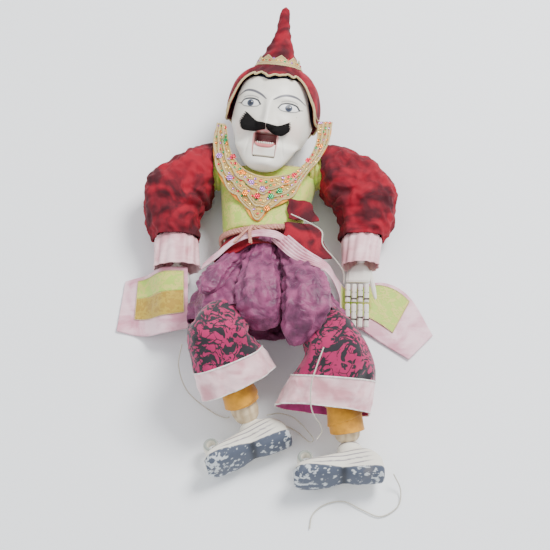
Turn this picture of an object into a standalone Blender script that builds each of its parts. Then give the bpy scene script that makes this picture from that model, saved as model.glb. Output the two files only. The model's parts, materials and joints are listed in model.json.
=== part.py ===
"""A carved and dressed string puppet that lies on its back, head towards +Y, face up.

Every dimension is in millimetres in the puppet's own layout, whose X = 0 runs beside the
spine and whose Y = 0 lies just above the hips. place() turns a layout point into metres in
the part's frame: +Z up, the floor at Z = 0, the origin under the middle of the puppet.
The puppet's right side is at -X and its left side is at +X.
"""
import math

import bmesh
import bpy
from mathutils import Matrix, Vector

MM = 0.001
LAYOUT_SHIFT = Vector((0.5, -34.45, -0.6))
GAP = 0.4
CLOTH = 3.0
SIDES = ("right", "left")
OUTWARD = {"right": -1.0, "left": 1.0}
X_AXIS = Vector((1, 0, 0))
Y_AXIS = Vector((0, 1, 0))
Z_AXIS = Vector((0, 0, 1))

# Joint centres of the puppet as it lies.
NECK = Vector((-7, 142, 36.8))
WAIST = Vector((-12, 46, 33))
SHOULDER = {"right": Vector((-60, 128, 33)), "left": Vector((44, 128, 33))}
ELBOW = {"right": Vector((-102, 93, 32)), "left": Vector((91, 93, 33))}
WRIST = {"right": Vector((-99, 24, 27)), "left": Vector((87, 24, 28))}
KNUCKLE = {"right": Vector((-99, -5, 20)), "left": Vector((83, -4, 23))}
FINGERTIP = {"right": Vector((-100, -47, 10)), "left": Vector((82, -45, 11))}
HIP = {"right": Vector((-31, -4, 33)), "left": Vector((17, -4, 33))}
KNEE = {"right": Vector((-55, -80, 78)), "left": Vector((57, -84, 60))}
ANKLE = {"right": Vector((-24, -150, 15)), "left": Vector((72, -172, 15))}

# Head: pitched onto the chest, turned and leant a little, measured from the neck ball.
HEAD_PITCH = 22.0
HEAD_LEAN = 7.0
HEAD_TURN = 5.0
# Height above the neck ball, half width, front and back of the carved head.
SKULL = (
    (-23, 10, 40, 31),
    (-18, 17, 45, 27),
    (-8, 26, 46, 18),
    (0, 31, 46, 13),
    (7, 35, 45, -22),
    (17, 38, 45, -40),
    (30, 41, 45, -47),
    (46, 42, 44, -48),
    (60, 39, 41, -46),
    (70, 34, 36, -40),
    (77, 26, 28, -32),
    (82, 15, 17, -20),
)
WAIST_BALL = 7.0
CUP_ROOM = 0.9
NECK_BALL = 8.5
NECK_STEM = 6.0
JAW_PIVOT = (23.0, -5.0)
JAW_HALF_WIDTH = 11.0
JAW_REAR = 5.6
MOUTH_TOP = 15.0
MOUTH_BOTTOM = -11.0
JAW_PIN_RADIUS = 1.5
HOOD_BRIM_FRONT = 70.0
HOOD_BRIM_SIDE = 33.0
HOOD_BRIM_BACK = 14.0
HAT_CONE = ((88.4, 22.5), (92, 20.5), (100, 17.5), (109, 13.5), (120, 9), (132, 6.2), (146, 4.8),
            (153, 2))

# Ball joints of the limbs.
ELBOW_BALL = 7.5
WRIST_BALL = 5.5
KNEE_BALL = 9.0
ANKLE_BALL = 7.0
SHOULDER_BEAD = 5.5
HIP_BEAD = 7.0
FINGER_COUNT = 4
FINGER_PITCH = 6.3
FINGER_HALF_WIDTH = 2.6
FINGER_REACH = 20.0
FINGER_JOINT_ROOM = 3.4

# Feet: toe direction and how far the sole is turned up from facing the legs' end.
TOE = {"right": Vector((-0.928, -0.371, 0.0)), "left": Vector((-0.999, -0.05, 0.0))}
SOLE_LIFT = 17.0
ANKLE_TO_SOLE = {"right": 36.0, "left": 40.0}
# Distance ahead of the ankle, half width, height of the upper, and lift of the underside.
SHOE = (
    (-31, 8, 12, 3),
    (-28, 13, 22, 0.5),
    (-18, 15, 31, 0),
    (-4, 15, 33, 0),
    (8, 15, 29, 3),
    (22, 18, 24, 0.5),
    (38, 19, 20, 0),
    (50, 16, 17, 0),
    (56, 9, 12, 2),
)

CORD_RADIUS = 0.65
CORD_STEP = 3.9

COLOURS = {
    "wood": ((0.74, 0.62, 0.43), 0.6, 0.0),
    "face": ((0.87, 0.84, 0.76), 0.45, 0.0),
    "jaw": ((0.80, 0.62, 0.60), 0.45, 0.0),
    "tongue": ((0.62, 0.22, 0.25), 0.5, 0.0),
    "hair": ((0.02, 0.02, 0.03), 0.7, 0.0),
    "velvet": ((0.50, 0.01, 0.05), 0.9, 0.0),
    "brocade": ((0.60, 0.74, 0.30), 0.7, 0.0),
    "gold": ((0.76, 0.60, 0.28), 0.5, 0.3),
    "satin": ((0.90, 0.70, 0.76), 0.5, 0.0),
    "taffeta": ((0.46, 0.16, 0.36), 0.6, 0.0),
    "print": ((0.55, 0.06, 0.24), 0.8, 0.0),
    "stocking": ((0.78, 0.46, 0.07), 0.8, 0.0),
    "hand": ((0.85, 0.82, 0.76), 0.5, 0.0),
    "shoe": ((0.78, 0.77, 0.72), 0.6, 0.0),
    "string": ((0.85, 0.82, 0.74), 0.9, 0.0),
    "steel": ((0.55, 0.55, 0.57), 0.4, 1.0),
}


def place(point):
    """A layout point in millimetres as a point of the part's frame in metres."""
    return (point + LAYOUT_SHIFT) * MM


def clear_scene():
    for thing in list(bpy.data.objects):
        bpy.data.objects.remove(thing, do_unlink=True)


def material(kind):
    found = bpy.data.materials.get(kind)
    if found:
        return found
    colour, roughness, metallic = COLOURS[kind]
    made = bpy.data.materials.new(kind)
    made.use_nodes = True
    shader = made.node_tree.nodes["Principled BSDF"]
    shader.inputs["Base Color"].default_value = (*colour, 1.0)
    shader.inputs["Roughness"].default_value = roughness
    shader.inputs["Metallic"].default_value = metallic
    return made


def body(name, origin, axis, parent=None):
    """An empty on a joint: its origin is the joint's centre and its X the joint's axis."""
    empty = bpy.data.objects.new(name, None)
    bpy.context.scene.collection.objects.link(empty)
    across = axis.normalized()
    guide = Z_AXIS if abs(across.z) < 0.9 else Y_AXIS
    up = (guide - across * guide.dot(across)).normalized()
    forward = up.cross(across)
    turn = Matrix((across, forward, up)).transposed().to_4x4()
    empty.empty_display_size = 0.01
    empty.parent = parent
    empty.matrix_world = Matrix.Translation(place(origin)) @ turn
    bpy.context.view_layer.update()
    return empty


def finish(name, owner, mesh, kind):
    """Closes a bmesh drawn in the layout, and hangs it on its body's empty."""
    bmesh.ops.recalc_face_normals(mesh, faces=mesh.faces)
    inverse = owner.matrix_world.inverted()
    for vertex in mesh.verts:
        vertex.co = inverse @ place(vertex.co)
    data = bpy.data.meshes.new(name)
    mesh.to_mesh(data)
    mesh.free()
    data.shade_smooth()
    data.set_sharp_from_angle(angle=math.radians(40))
    data.materials.append(material(kind))
    piece = bpy.data.objects.new(name, data)
    bpy.context.scene.collection.objects.link(piece)
    piece.parent = owner
    return piece


def cut(piece, tool, operation="DIFFERENCE"):
    """Cuts a tool out of a piece, or joins it on, and keeps the tool as a wire guide."""
    tool.hide_render = True
    tool.display_type = "WIRE"
    change = piece.modifiers.new("carve", "BOOLEAN")
    change.operation = operation
    change.solver = "EXACT"
    change.object = tool


def ring(centre, across, up, half_across, half_up, count=12, power=2.0):
    """Points round a superellipse; a power over 2 squares it off."""
    points = []
    for step in range(count):
        angle = 2 * math.pi * (step + 0.5) / count
        c, s = math.cos(angle), math.sin(angle)
        x = math.copysign(abs(c) ** (2 / power), c)
        y = math.copysign(abs(s) ** (2 / power), s)
        points.append(centre + across * half_across * x + up * half_up * y)
    return points


def bridge(mesh, first, second):
    count = len(first)
    for step in range(count):
        after = (step + 1) % count
        mesh.faces.new((first[step], first[after], second[after], second[step]))


def loft(rings):
    """A solid through a list of rings, with both ends closed."""
    mesh = bmesh.new()
    loops = [[mesh.verts.new(point) for point in points] for points in rings]
    for first, second in zip(loops, loops[1:]):
        bridge(mesh, first, second)
    mesh.faces.new(loops[0])
    mesh.faces.new(loops[-1])
    return mesh


def shell(outer, inner, closed_top=False):
    """A tube with a wall; closed_top caps its last rings, inside and outside."""
    mesh = bmesh.new()
    outside = [[mesh.verts.new(point) for point in points] for points in outer]
    inside = [[mesh.verts.new(point) for point in points] for points in inner]
    for loops in (outside, inside):
        for first, second in zip(loops, loops[1:]):
            bridge(mesh, first, second)
    bridge(mesh, outside[0], inside[0])
    if closed_top:
        mesh.faces.new(outside[-1])
        mesh.faces.new(inside[-1])
    else:
        bridge(mesh, outside[-1], inside[-1])
    return mesh


def turned(start, direction, profile, count=12):
    """A turned solid; the profile lists radius and distance from start along direction."""
    along = direction.normalized()
    guide = X_AXIS if abs(along.x) < 0.8 else Z_AXIS
    across = along.cross(guide).normalized()
    up = along.cross(across)
    return loft([ring(start + along * away, across, up, radius, radius, count)
                 for radius, away in profile])


def ball_profile(radius, last_angle=150):
    """Rings of a ball from behind its centre to where its neck leaves it."""
    angles = [25, 55, 90, 120, last_angle]
    return [(radius * math.sin(math.radians(a)), -radius * math.cos(math.radians(a)))
            for a in angles]


def cup_profile(length, next_ball, wall):
    """The open end of a limb: a rim and a shallow cup round the next limb's ball."""
    bowl = next_ball + 0.7
    rim = math.radians(50)
    inner = math.radians(22)
    return [
        (bowl * math.sin(rim) + wall, length - bowl * math.cos(rim) - 1.0),
        (bowl * math.sin(rim), length - bowl * math.cos(rim)),
        (bowl * math.sin(inner), length - bowl * math.cos(inner)),
    ]


def box(centre, half, axes=(X_AXIS, Y_AXIS, Z_AXIS)):
    across, along, up = axes
    return loft([[centre + across * half[0] * sx + along * half[1] * sy + up * half[2] * level
                  for sx, sy in ((-1, -1), (1, -1), (1, 1), (-1, 1))] for level in (-1, 1)])


def tube_rings(sections, thin=0.0):
    """Rings of a sleeve or leg: each section is a centre, a direction and two half sizes."""
    rings = []
    for centre, direction, half_across, half_up in sections:
        along = direction.normalized()
        across = along.cross(Z_AXIS).normalized()
        up = across.cross(along)
        rings.append(ring(centre, across, up, half_across - thin, half_up - thin, 12, 2.3))
    return rings


def garment_tube(sections):
    return shell(tube_rings(sections), tube_rings(sections, CLOTH))


def girdle_rings(sections, thin=0.0, power=2.6):
    """Rings round the trunk: each section is Y, the middle in X and Z, and two half sizes."""
    return [ring(Vector((x, y, z)), X_AXIS, Z_AXIS, half_x - thin, half_z - thin, 16, power)
            for y, x, z, half_x, half_z in sections]


def head_axes():
    """Across, up and forward of the head as it lies."""
    pitch, lean, turn = (math.radians(angle) for angle in (HEAD_PITCH, HEAD_LEAN, HEAD_TURN))
    straight_up = Vector((0, math.cos(pitch), math.sin(pitch)))
    straight_ahead = Vector((0, -math.sin(pitch), math.cos(pitch)))
    up = straight_up * math.cos(lean) + X_AXIS * math.sin(lean)
    level = X_AXIS * math.cos(lean) - straight_up * math.sin(lean)
    front = straight_ahead * math.cos(turn) - level * math.sin(turn)
    return level * math.cos(turn) + straight_ahead * math.sin(turn), up, front


HEAD_ACROSS, HEAD_UP, HEAD_FRONT = head_axes()


def in_head(across, up, front):
    return NECK + HEAD_ACROSS * across + HEAD_UP * up + HEAD_FRONT * front


def skull_section(height):
    """Half width, front and back of the head at a height, between the carved sections."""
    for lower, upper in zip(SKULL, SKULL[1:]):
        if height <= upper[0]:
            share = (height - lower[0]) / (upper[0] - lower[0])
            return [low + (high - low) * share for low, high in zip(lower[1:], upper[1:])]
    return list(SKULL[-1][1:])


def skull_ring(height, grow=0.0, count=16):
    half, front, back = skull_section(height)
    middle = in_head(0, height, (front + back) / 2)
    return ring(middle, HEAD_ACROSS, HEAD_FRONT, half + grow, (front - back) / 2 + grow,
                count, 2.2)


# The trunk ------------------------------------------------------------------------------

CHEST = ((62, -12, 31, 31, 19), (90, -10, 29.5, 38, 20.5), (108, -8, 27.5, 43, 20),
         (122, -8, 26, 43, 17), (126, -8, 25, 40, 14))
VEST = ((50, -13, 31.4, 39, 27.8), (75, -11, 30.4, 43, 28), (100, -8, 28.6, 48, 26.6),
        (113, -8, 26.5, 49.5, 24.5), (120, -8, 25, 48, 22.5))
COLLAR_OUTLINE = ((-19, 47), (-4, 62), (18, 76), (30, 99), (45, 120), (56, 143), (60, 166),
                  (44, 164), (42, 128), (24, 105), (-2, 99), (-30, 105), (-48, 128),
                  (-50, 160), (-60, 164), (-64, 143), (-61, 112), (-48, 84), (-33, 67))
COLLAR_LEVEL = 60.0
PELVIS = ((42, -12, 33, 24, 14), (30, -11, 33, 30, 18), (14, -8, 33, 35, 19), (6, -7, 33, 33, 17))
WAIST_CLOTH = ((44, -13, 33, 30, 20), (20, -12, 34, 43, 29), (0, -14, 36, 56, 35),
               (-30, -11, 45, 74, 44), (-52, -6, 50, 80, 49))
PEPLUM = ((46, -13, 33, 34, 24), (36, -13, 33, 38, 27.5), (26, -13, 34, 44, 31),
          (16, -12.5, 35.4, 49.5, 34.6))
BELT = ((37.5, -13, 33, 42.5, 31.5), (44.5, -13, 33, 42.5, 31.5))


def build_trunk(torso, pelvis):
    chest = finish("chest_block", torso, loft(girdle_rings(CHEST, power=3.0)), "wood")
    bore = turned(Vector((NECK.x, 104, NECK.z)), Y_AXIS, ((NECK_STEM + GAP, 0), (NECK_STEM + GAP, 30)))
    cut(chest, finish("guide_neck_bore", torso, bore, "wood"))
    socket = turned(WAIST + Y_AXIS * 10, Y_AXIS, ((5 + GAP, 0), (5 + GAP, 26)))
    cut(chest, finish("guide_waist_bore", torso, socket, "wood"))
    finish("vest", torso, shell(girdle_rings(VEST, power=3.0),
                                girdle_rings(VEST, CLOTH, 3.0)), "brocade")
    layers = [[Vector((x, y, level)) for x, y in COLLAR_OUTLINE]
              for level in (COLLAR_LEVEL, COLLAR_LEVEL + 2.5)]
    finish("collar", torso, loft(layers), "gold")
    link = ball_profile(WAIST_BALL) + [(4, 8), (5, 14), (5, 35)]
    finish("waist_link", torso, turned(WAIST, Y_AXIS, link), "wood")

    block = finish("pelvis_block", pelvis, loft(girdle_rings(PELVIS, power=3.0)), "wood")
    cup = turned(WAIST, Y_AXIS, ball_profile(WAIST_BALL + CUP_ROOM, 155))
    cut(block, finish("guide_waist_cup", pelvis, cup, "wood"))
    for name, sections, wall, kind in (("waist_cloth", WAIST_CLOTH, CLOTH, "taffeta"),
                                       ("peplum", PEPLUM, 2.6, "velvet"),
                                       ("belt", BELT, 3.2, "satin")):
        finish(name, pelvis, shell(girdle_rings(sections), girdle_rings(sections, wall)), kind)


def strip(upper, lower, thickness=2.0):
    """A strip of cloth between two edges, as thick as its hem."""
    rings = []
    for high, low in zip(upper, lower):
        middle = (high + low) / 2
        rings.append([high, middle, low])
    down = Z_AXIS * -thickness
    return loft([edge + [point + down for point in reversed(edge)] for edge in rings])


TAIL_EDGES = {
    "right": (((-88, 11, 34), (-112, 12, 33), (-132, 12, 12), (-153, 10, 3)),
              ((-86, -44, 30), (-112, -50, 24), (-134, -48, 4), (-160, -44, 2.6))),
    "left": (((14, 28, 72), (30, 10, 78), (51, -2, 72), (62, -2, 36), (75, 0, 8), (110, 8, 4),
              (137, -8, 3), (159, -50, 3)),
             ((-4, 24, 72), (18, 0, 78), (48, -14, 80), (63, -22, 44), (68, -34, 8),
              (90, -46, 4), (110, -60, 3), (134, -76, 3))),
}


def build_tails(pelvis):
    for side in SIDES:
        upper, lower = [[Vector(point) for point in edge] for edge in TAIL_EDGES[side]]
        finish(f"skirt_tail_{side}", pelvis, strip(upper, lower), "satin")


# The head -------------------------------------------------------------------------------

def build_neck(neck):
    profile = ball_profile(NECK_BALL) + [(NECK_STEM, 8.5), (NECK_STEM, 12), (9, 12.4), (9, 15.4),
                                         (NECK_STEM, 15.6), (NECK_STEM, 36)]
    finish("neck_post", neck, turned(NECK, -Y_AXIS, profile), "wood")


def build_head(head):
    skull = finish("head", head, loft([skull_ring(row[0]) for row in SKULL]), "face")
    axes = (HEAD_ACROSS, HEAD_UP, HEAD_FRONT)
    ball = turned(NECK, -Y_AXIS, ball_profile(NECK_BALL + CUP_ROOM, 155))
    cut(skull, finish("guide_neck_socket", head, ball, "face"))
    mouth = box(in_head(0, (MOUTH_TOP + MOUTH_BOTTOM) / 2, 36.5),
                (JAW_HALF_WIDTH + 0.5, (MOUTH_TOP - MOUTH_BOTTOM) / 2, 20), axes)
    cut(skull, finish("guide_mouth", head, mouth, "face"))
    front, height = JAW_PIVOT
    pin_start = in_head(-21, height, front)
    bore_radius = JAW_PIN_RADIUS + GAP
    bore = turned(pin_start, HEAD_ACROSS, ((bore_radius, -0.5), (bore_radius, 42.5)))
    cut(skull, finish("guide_jaw_bore", head, bore, "face"))
    pin = turned(pin_start, HEAD_ACROSS, ((JAW_PIN_RADIUS, 0), (JAW_PIN_RADIUS, 42)))
    finish("jaw_pin", head, pin, "steel")
    half = [(0, 3.5), (7, 8), (14, 8.5), (24, 3), (23, -1), (19, -5), (17, -9), (8, -4), (0, -1)]
    outline = half + [(-x, y) for x, y in reversed(half[1:-1])]
    layers = [[in_head(x, 21.5 + y, level) for x, y in outline] for level in (46.4, 48.6)]
    finish("moustache", head, loft(layers), "hair")


def build_hat(head):
    outer, inner = [], []
    count = 16
    for level in range(5):
        share = level / 4
        for rings, grow in ((outer, 6.2), (inner, 4.0)):
            points = []
            for step in range(count):
                angle = 2 * math.pi * (step + 0.5) / count
                facing = math.sin(angle)
                brim = (HOOD_BRIM_SIDE + (HOOD_BRIM_FRONT - HOOD_BRIM_SIDE) * facing ** 2
                        if facing > 0 else
                        HOOD_BRIM_SIDE + (HOOD_BRIM_BACK - HOOD_BRIM_SIDE) * facing ** 2)
                height = brim + (SKULL[-1][0] - 1 - brim) * share ** 0.8
                points.append(skull_ring(height, grow, count)[step]
                              + HEAD_UP * (grow * share ** 2))
            rings.append(points)
    finish("hat_hood", head, shell(outer, inner, closed_top=True), "velvet")
    cone = turned(NECK, HEAD_UP, [(radius, height) for height, radius in HAT_CONE], 14)
    finish("hat_cone", head, cone, "velvet")
    axes = (HEAD_ACROSS, HEAD_FRONT)
    band = [[ring(in_head(0, height, 0), *axes, radius + grow, radius + grow, 14)
             for height, radius in ((89, 22.2), (92, 20.5), (96, 19))] for grow in (3.4, 1.0)]
    finish("hat_band", head, shell(*band), "gold")


def build_jaw(jaw):
    front, height = JAW_PIVOT
    side = []
    for step in range(7):
        angle = math.radians(90 + 30 * step)
        side.append((front + JAW_REAR * math.cos(angle), height + JAW_REAR * math.sin(angle)))
    side += [(40, -10.4), (45.5, -9), (46, -2), (44.5, 2.5), (42, 2.5), (41.5, 0.4)]
    layers = [[in_head(x, up, forward) for forward, up in side]
              for x in (-JAW_HALF_WIDTH, JAW_HALF_WIDTH)]
    piece = finish("jaw", jaw, loft(layers), "jaw")
    bore_radius = JAW_PIN_RADIUS + GAP
    bore = turned(in_head(-14, height, front), HEAD_ACROSS, ((bore_radius, 0), (bore_radius, 28)))
    cut(piece, finish("guide_jaw_pivot", jaw, bore, "jaw"))
    tongue = [ring(in_head(0, 2.3, forward), HEAD_ACROSS, HEAD_UP, half, 1.6, 10)
              for forward, half in ((25, 4), (28, 6), (35, 6.5), (39.5, 4.5), (40.8, 2))]
    finish("tongue", jaw, loft(tongue), "tongue")


# The arms -------------------------------------------------------------------------------

SLEEVE_TOP = {
    "right": ((Vector((-64, 126, 31)), Vector((-1, 0, 0)), 25, 24),
              (Vector((-80, 115, 32)), Vector((-0.9, -0.45, 0)), 30, 28)),
    "left": ((Vector((47.5, 126, 31)), Vector((1, 0, 0)), 25, 24),
             (Vector((66, 115, 32)), Vector((0.9, -0.45, 0)), 30, 28)),
}
SLEEVE_END = {
    "right": ((Vector((-104, 66, 31)), Vector((0, -1, -0.05)), 27, 25),
              (Vector((-101, 42, 29)), Vector((0, -1, -0.05)), 22, 19),
              (Vector((-99, 15, 26)), Vector((0, -1, -0.05)), 23, 17)),
    "left": ((Vector((94, 66, 31)), Vector((0, -1, -0.05)), 28, 25),
             (Vector((88, 42, 29)), Vector((0, -1, -0.05)), 20, 19),
             (Vector((86, 16, 28)), Vector((0, -1, -0.05)), 18, 16)),
}


def mitre(first, second):
    """The direction halfway between two limbs, and how much longer the joint is across."""
    middle = (first.normalized() + second.normalized()).normalized()
    return middle, 1 / middle.dot(first.normalized())


def build_arm(side, link, upper, fore, hand):
    shoulder, elbow, wrist = SHOULDER[side], ELBOW[side], WRIST[side]
    bead = turned(shoulder, X_AXIS, ball_profile(SHOULDER_BEAD, 155))
    finish(f"shoulder_link_{side}", link, bead, "wood")
    reach = elbow - shoulder
    profile = [(4.5, 7.2), (7, 10), (8.5, 22), (7.5, reach.length - 16)]
    profile += cup_profile(reach.length, ELBOW_BALL, 2.2)
    finish(f"upper_arm_{side}", upper, turned(shoulder, reach, profile), "wood")
    lower = wrist - elbow
    profile = ball_profile(ELBOW_BALL) + [(4.2, 8.5), (8, 15), (7, lower.length - 15)]
    profile += cup_profile(lower.length, WRIST_BALL, 1.8)
    finish(f"forearm_{side}", fore, turned(elbow, lower, profile), "wood")

    fold, stretch = mitre(reach, lower)
    top = (elbow, fold, 29 * stretch, 30)
    nudge = fold * GAP
    upper_rings = [*SLEEVE_TOP[side], (elbow - nudge, *top[1:])]
    lower_rings = [(elbow + nudge, *top[1:]), *SLEEVE_END[side]]
    finish(f"sleeve_upper_{side}", upper, garment_tube(upper_rings), "velvet")
    finish(f"sleeve_lower_{side}", fore, garment_tube(lower_rings), "velvet")
    build_palm(side, hand)


def hand_axes(side):
    """Across, up and along of the fingers as they lie."""
    along = (FINGERTIP[side] - KNUCKLE[side]).normalized()
    across = along.cross(Z_AXIS).normalized()
    return across, across.cross(along), along


def build_palm(side, hand):
    wrist, knuckle = WRIST[side], KNUCKLE[side]
    across, up, along = hand_axes(side)
    aim = (knuckle - wrist).normalized()
    length = (knuckle - wrist).length - FINGER_JOINT_ROOM
    half = FINGER_PITCH * FINGER_COUNT / 2
    sections = ((3.2, 3.2, -4), (WRIST_BALL, WRIST_BALL, 0), (3.6, 3.6, 5.5), (8, 4.5, 9),
                (half, 5, 15), (half, 4, length - 2), (half - 1, 3, length))
    palm = finish(f"palm_{side}", hand, loft([
        ring(wrist + aim * away, across, up, wide, thick, 12, 2.6 if away > 6 else 2.0)
        for wide, thick, away in sections]), "hand")
    outer = across * (half - 2) * (1 if across.x * OUTWARD[side] > 0 else -1)
    base = wrist + aim * 13 + outer
    splay = (along + outer.normalized() * 0.22).normalized()
    thumb = turned(base, splay, ((2.2, 0), (2.6, 8), (2.5, 20), (1.6, 28), (0.8, 29.5)), 8)
    cut(palm, finish(f"guide_thumb_{side}", hand, thumb, "hand"), "UNION")


def segment(start, axes, reach, half=FINGER_HALF_WIDTH, thick=2.8):
    """A finger piece: rounded about its own joint, flat-ended before the next one."""
    across, up, along = axes
    sections = ((0.9 * thick, -0.45 * thick), (thick, 0), (0.95 * thick, reach * 0.5),
                (0.85 * thick, reach - 1.0), (0.6 * thick, reach))
    return loft([ring(start + along * away, across, up, half * (0.85 if away < 0 else 1), high,
                      8, 2.6) for high, away in sections])


def finger_start(side, finger):
    across, _, _ = hand_axes(side)
    return KNUCKLE[side] + across * FINGER_PITCH * (finger - (FINGER_COUNT - 1) / 2)


def build_fingers(side, roots, tips):
    """Four jointed fingers, each on its own two bodies."""
    axes = hand_axes(side)
    for finger in range(FINGER_COUNT):
        start = finger_start(side, finger)
        first = segment(start, axes, FINGER_REACH - FINGER_JOINT_ROOM)
        finish(f"finger_{finger + 1}_root_{side}", roots[finger], first, "hand")
        last = segment(start + axes[2] * FINGER_REACH, axes, 22.0)
        finish(f"finger_{finger + 1}_tip_{side}", tips[finger], last, "hand")


def build_finger_rows(side, root, tip):
    """The four fingers carved as two rows, with slots between the fingers."""
    axes = hand_axes(side)
    half = FINGER_PITCH * (FINGER_COUNT - 1) / 2 + FINGER_HALF_WIDTH
    for row, (owner, start, reach) in enumerate((
            (root, KNUCKLE[side], FINGER_REACH - FINGER_JOINT_ROOM),
            (tip, KNUCKLE[side] + axes[2] * FINGER_REACH, 22.0))):
        name = ("finger_row_root", "finger_row_tip")[row]
        piece = finish(f"{name}_{side}", owner, segment(start, axes, reach, half), "hand")
        for slot in range(FINGER_COUNT - 1):
            middle = start + axes[0] * FINGER_PITCH * (slot - 1) + axes[2] * (reach / 2 + 4.5)
            saw = box(middle, (0.55, reach / 2, 6), (axes[0], axes[2], axes[1]))
            cut(piece, finish(f"guide_{name}_{slot}", owner, saw, "hand"))


# The legs -------------------------------------------------------------------------------

TROUSER_TOP = {
    "right": ((16, 15, 15), (48, 19, 18), (70, 24, 21)),
    "left": ((16, 15, 15), (48, 19, 18), (70, 24, 21)),
}
TROUSER_END = {
    "right": ((Vector((-50, -92, 67)), Vector((0.30, -0.80, -0.5)), 33, 28),
              (Vector((-42, -105, 57)), Vector((0.36, -0.78, -0.5)), 37, 29),
              (Vector((-35, -118, 46)), Vector((0.40, -0.75, -0.5)), 38, 28)),
    "left": ((Vector((60, -103, 52)), Vector((0.0, -0.95, -0.3)), 36, 31),
             (Vector((53, -122, 42)), Vector((-0.1, -0.95, -0.3)), 42, 31),
             (Vector((46, -141, 34)), Vector((-0.1, -0.97, -0.2)), 46, 30)),
}
STOCKING_END = {"right": 74.0, "left": 85.0}


def build_leg(side, link, upper, lower):
    hip, knee, ankle = HIP[side], KNEE[side], ANKLE[side]
    bead = turned(hip, X_AXIS, ball_profile(HIP_BEAD, 155))
    finish(f"hip_link_{side}", link, bead, "wood")
    reach = knee - hip
    profile = [(4, 9), (8, 12), (10, 30), (9.5, reach.length - 20)]
    profile += cup_profile(reach.length, KNEE_BALL, 2.6)
    finish(f"thigh_{side}", upper, turned(hip, reach, profile), "wood")
    drop = ankle - knee
    profile = ball_profile(KNEE_BALL) + [(5, 10), (13, 17), (14, 40)]
    profile += [(13.6, drop.length - 16), (11.5, drop.length - 9)]
    profile += cup_profile(drop.length, ANKLE_BALL, 3.2)
    finish(f"shin_{side}", lower, turned(knee, drop, profile, 14), "wood")
    along = drop.normalized()
    across = along.cross(Z_AXIS).normalized()
    up = across.cross(along)
    rings = [[ring(knee + along * away, across, up, radius + grow, radius + grow, 14)
              for away, radius in ((20, 15.2), (45, 15.6), (STOCKING_END[side], 15.4))]
             for grow in (1.8, 0.0)]
    finish(f"stocking_{side}", lower, shell(*rings), "stocking")

    fold, stretch = mitre(reach, drop)
    nudge = fold * GAP
    top = [(hip + reach.normalized() * away, reach, wide, high)
           for away, wide, high in TROUSER_TOP[side]]
    bend = (fold, 30, 24 * min(stretch, 1.15))
    finish(f"trouser_upper_{side}", upper, garment_tube([*top, (knee - nudge, *bend)]), "print")
    finish(f"trouser_lower_{side}", lower,
           garment_tube([(knee + nudge, *bend), *TROUSER_END[side]]), "print")


def shoe_axes(side):
    """Across, along and up of the shoe; up runs from the sole to the ankle."""
    toe = TOE[side].normalized()
    level = toe.cross(Z_AXIS) * (1 if toe.cross(Z_AXIS).y > 0 else -1)
    lift = math.radians(SOLE_LIFT)
    up = (level * math.cos(lift) - Z_AXIS * math.sin(lift)).normalized()
    return toe.cross(up), toe, up


def build_shoe(side, foot):
    across, toe, up = shoe_axes(side)
    sole = ANKLE[side] - up * ANKLE_TO_SOLE[side]
    rings = [ring(sole + toe * ahead + up * (lift + height) / 2, across, up, half,
                  (height - lift) / 2, 12, 3.0) for ahead, half, height, lift in SHOE]
    shoe = finish(f"shoe_{side}", foot, loft(rings), "shoe")
    peg = [(ANKLE_BALL * 0.4, -6.4)] + ball_profile(ANKLE_BALL)[1:] + [(5, 8), (5, 11), (10, 13), (13, 19)]
    ankle = turned(ANKLE[side], -up, peg)
    cut(shoe, finish(f"guide_ankle_peg_{side}", foot, ankle, "shoe"), "UNION")
    centre = sole + toe * 42 + up * 28
    curl = []
    for step in range(7):
        angle = math.radians(-80 + 42 * step)
        radius = 7.5 - 0.35 * step
        middle = centre + toe * radius * math.cos(angle) + up * radius * math.sin(angle)
        outward = (middle - centre).normalized()
        size = 5.5 - 0.4 * step
        curl.append(ring(middle, across, outward, size * 1.5, size * 0.6, 8))
    cut(shoe, finish(f"guide_toe_curl_{side}", foot, loft(curl), "shoe"), "UNION")


# The strings ----------------------------------------------------------------------------

STRING_ROUTES = {
    "string_leg_right": ((-90, -84, 62), (-94, -98, 38), (-86, -114, 12), (-64, -131, 4),
                         (-50, -139, 6), (-45, -141, 13)),
    "string_leg_left": ((46, -100, 93), (39, -118, 88), (34, -134, 78), (35, -151, 60),
                        (45, -161, 36), (40, -171, 33)),
    "string_feet": ((-8, -140, 16), (4, -137, 13), (18, -141, 12), (30, -153, 13),
                    (37, -164, 15), (33, -165, 9), (22, -154, 6), (8, -146, 5), (-5, -143, 7)),
    "string_hand_left": ((16, 54, 68), (33, 46, 66), (46, 30, 78), (47, 14, 80), (60, 6, 62),
                         (68, 2, 44), (69, -6, 33)),
    "string_loop_left": ((114, -200, 16), (121, -212, 5), (118, -228, 2), (101, -238, 2),
                         (83, -231, 2), (66, -223, 2), (48, -226, 2), (36, -236, 2),
                         (33, -250, 2)),
}


def smooth_route(points):
    """A Catmull-Rom curve through the route, with a point every few diameters."""
    ends = [points[0] * 2 - points[1], *points, points[-1] * 2 - points[-2]]
    dense = []
    for a, b, c, d in zip(ends, ends[1:], ends[2:], ends[3:]):
        for step in range(12):
            t = step / 12
            dense.append(((b * 2) + (c - a) * t + (a * 2 - b * 5 + c * 4 - d) * t * t
                          + (b * 3 - a - c * 3 + d) * t ** 3) / 2)
    dense.append(points[-1])
    spaced, travelled = [dense[0]], 0.0
    for previous, point in zip(dense, dense[1:]):
        travelled += (point - previous).length
        if travelled >= CORD_STEP:
            spaced.append(point)
            travelled = 0.0
    spaced[-1] = dense[-1]
    return spaced


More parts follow.
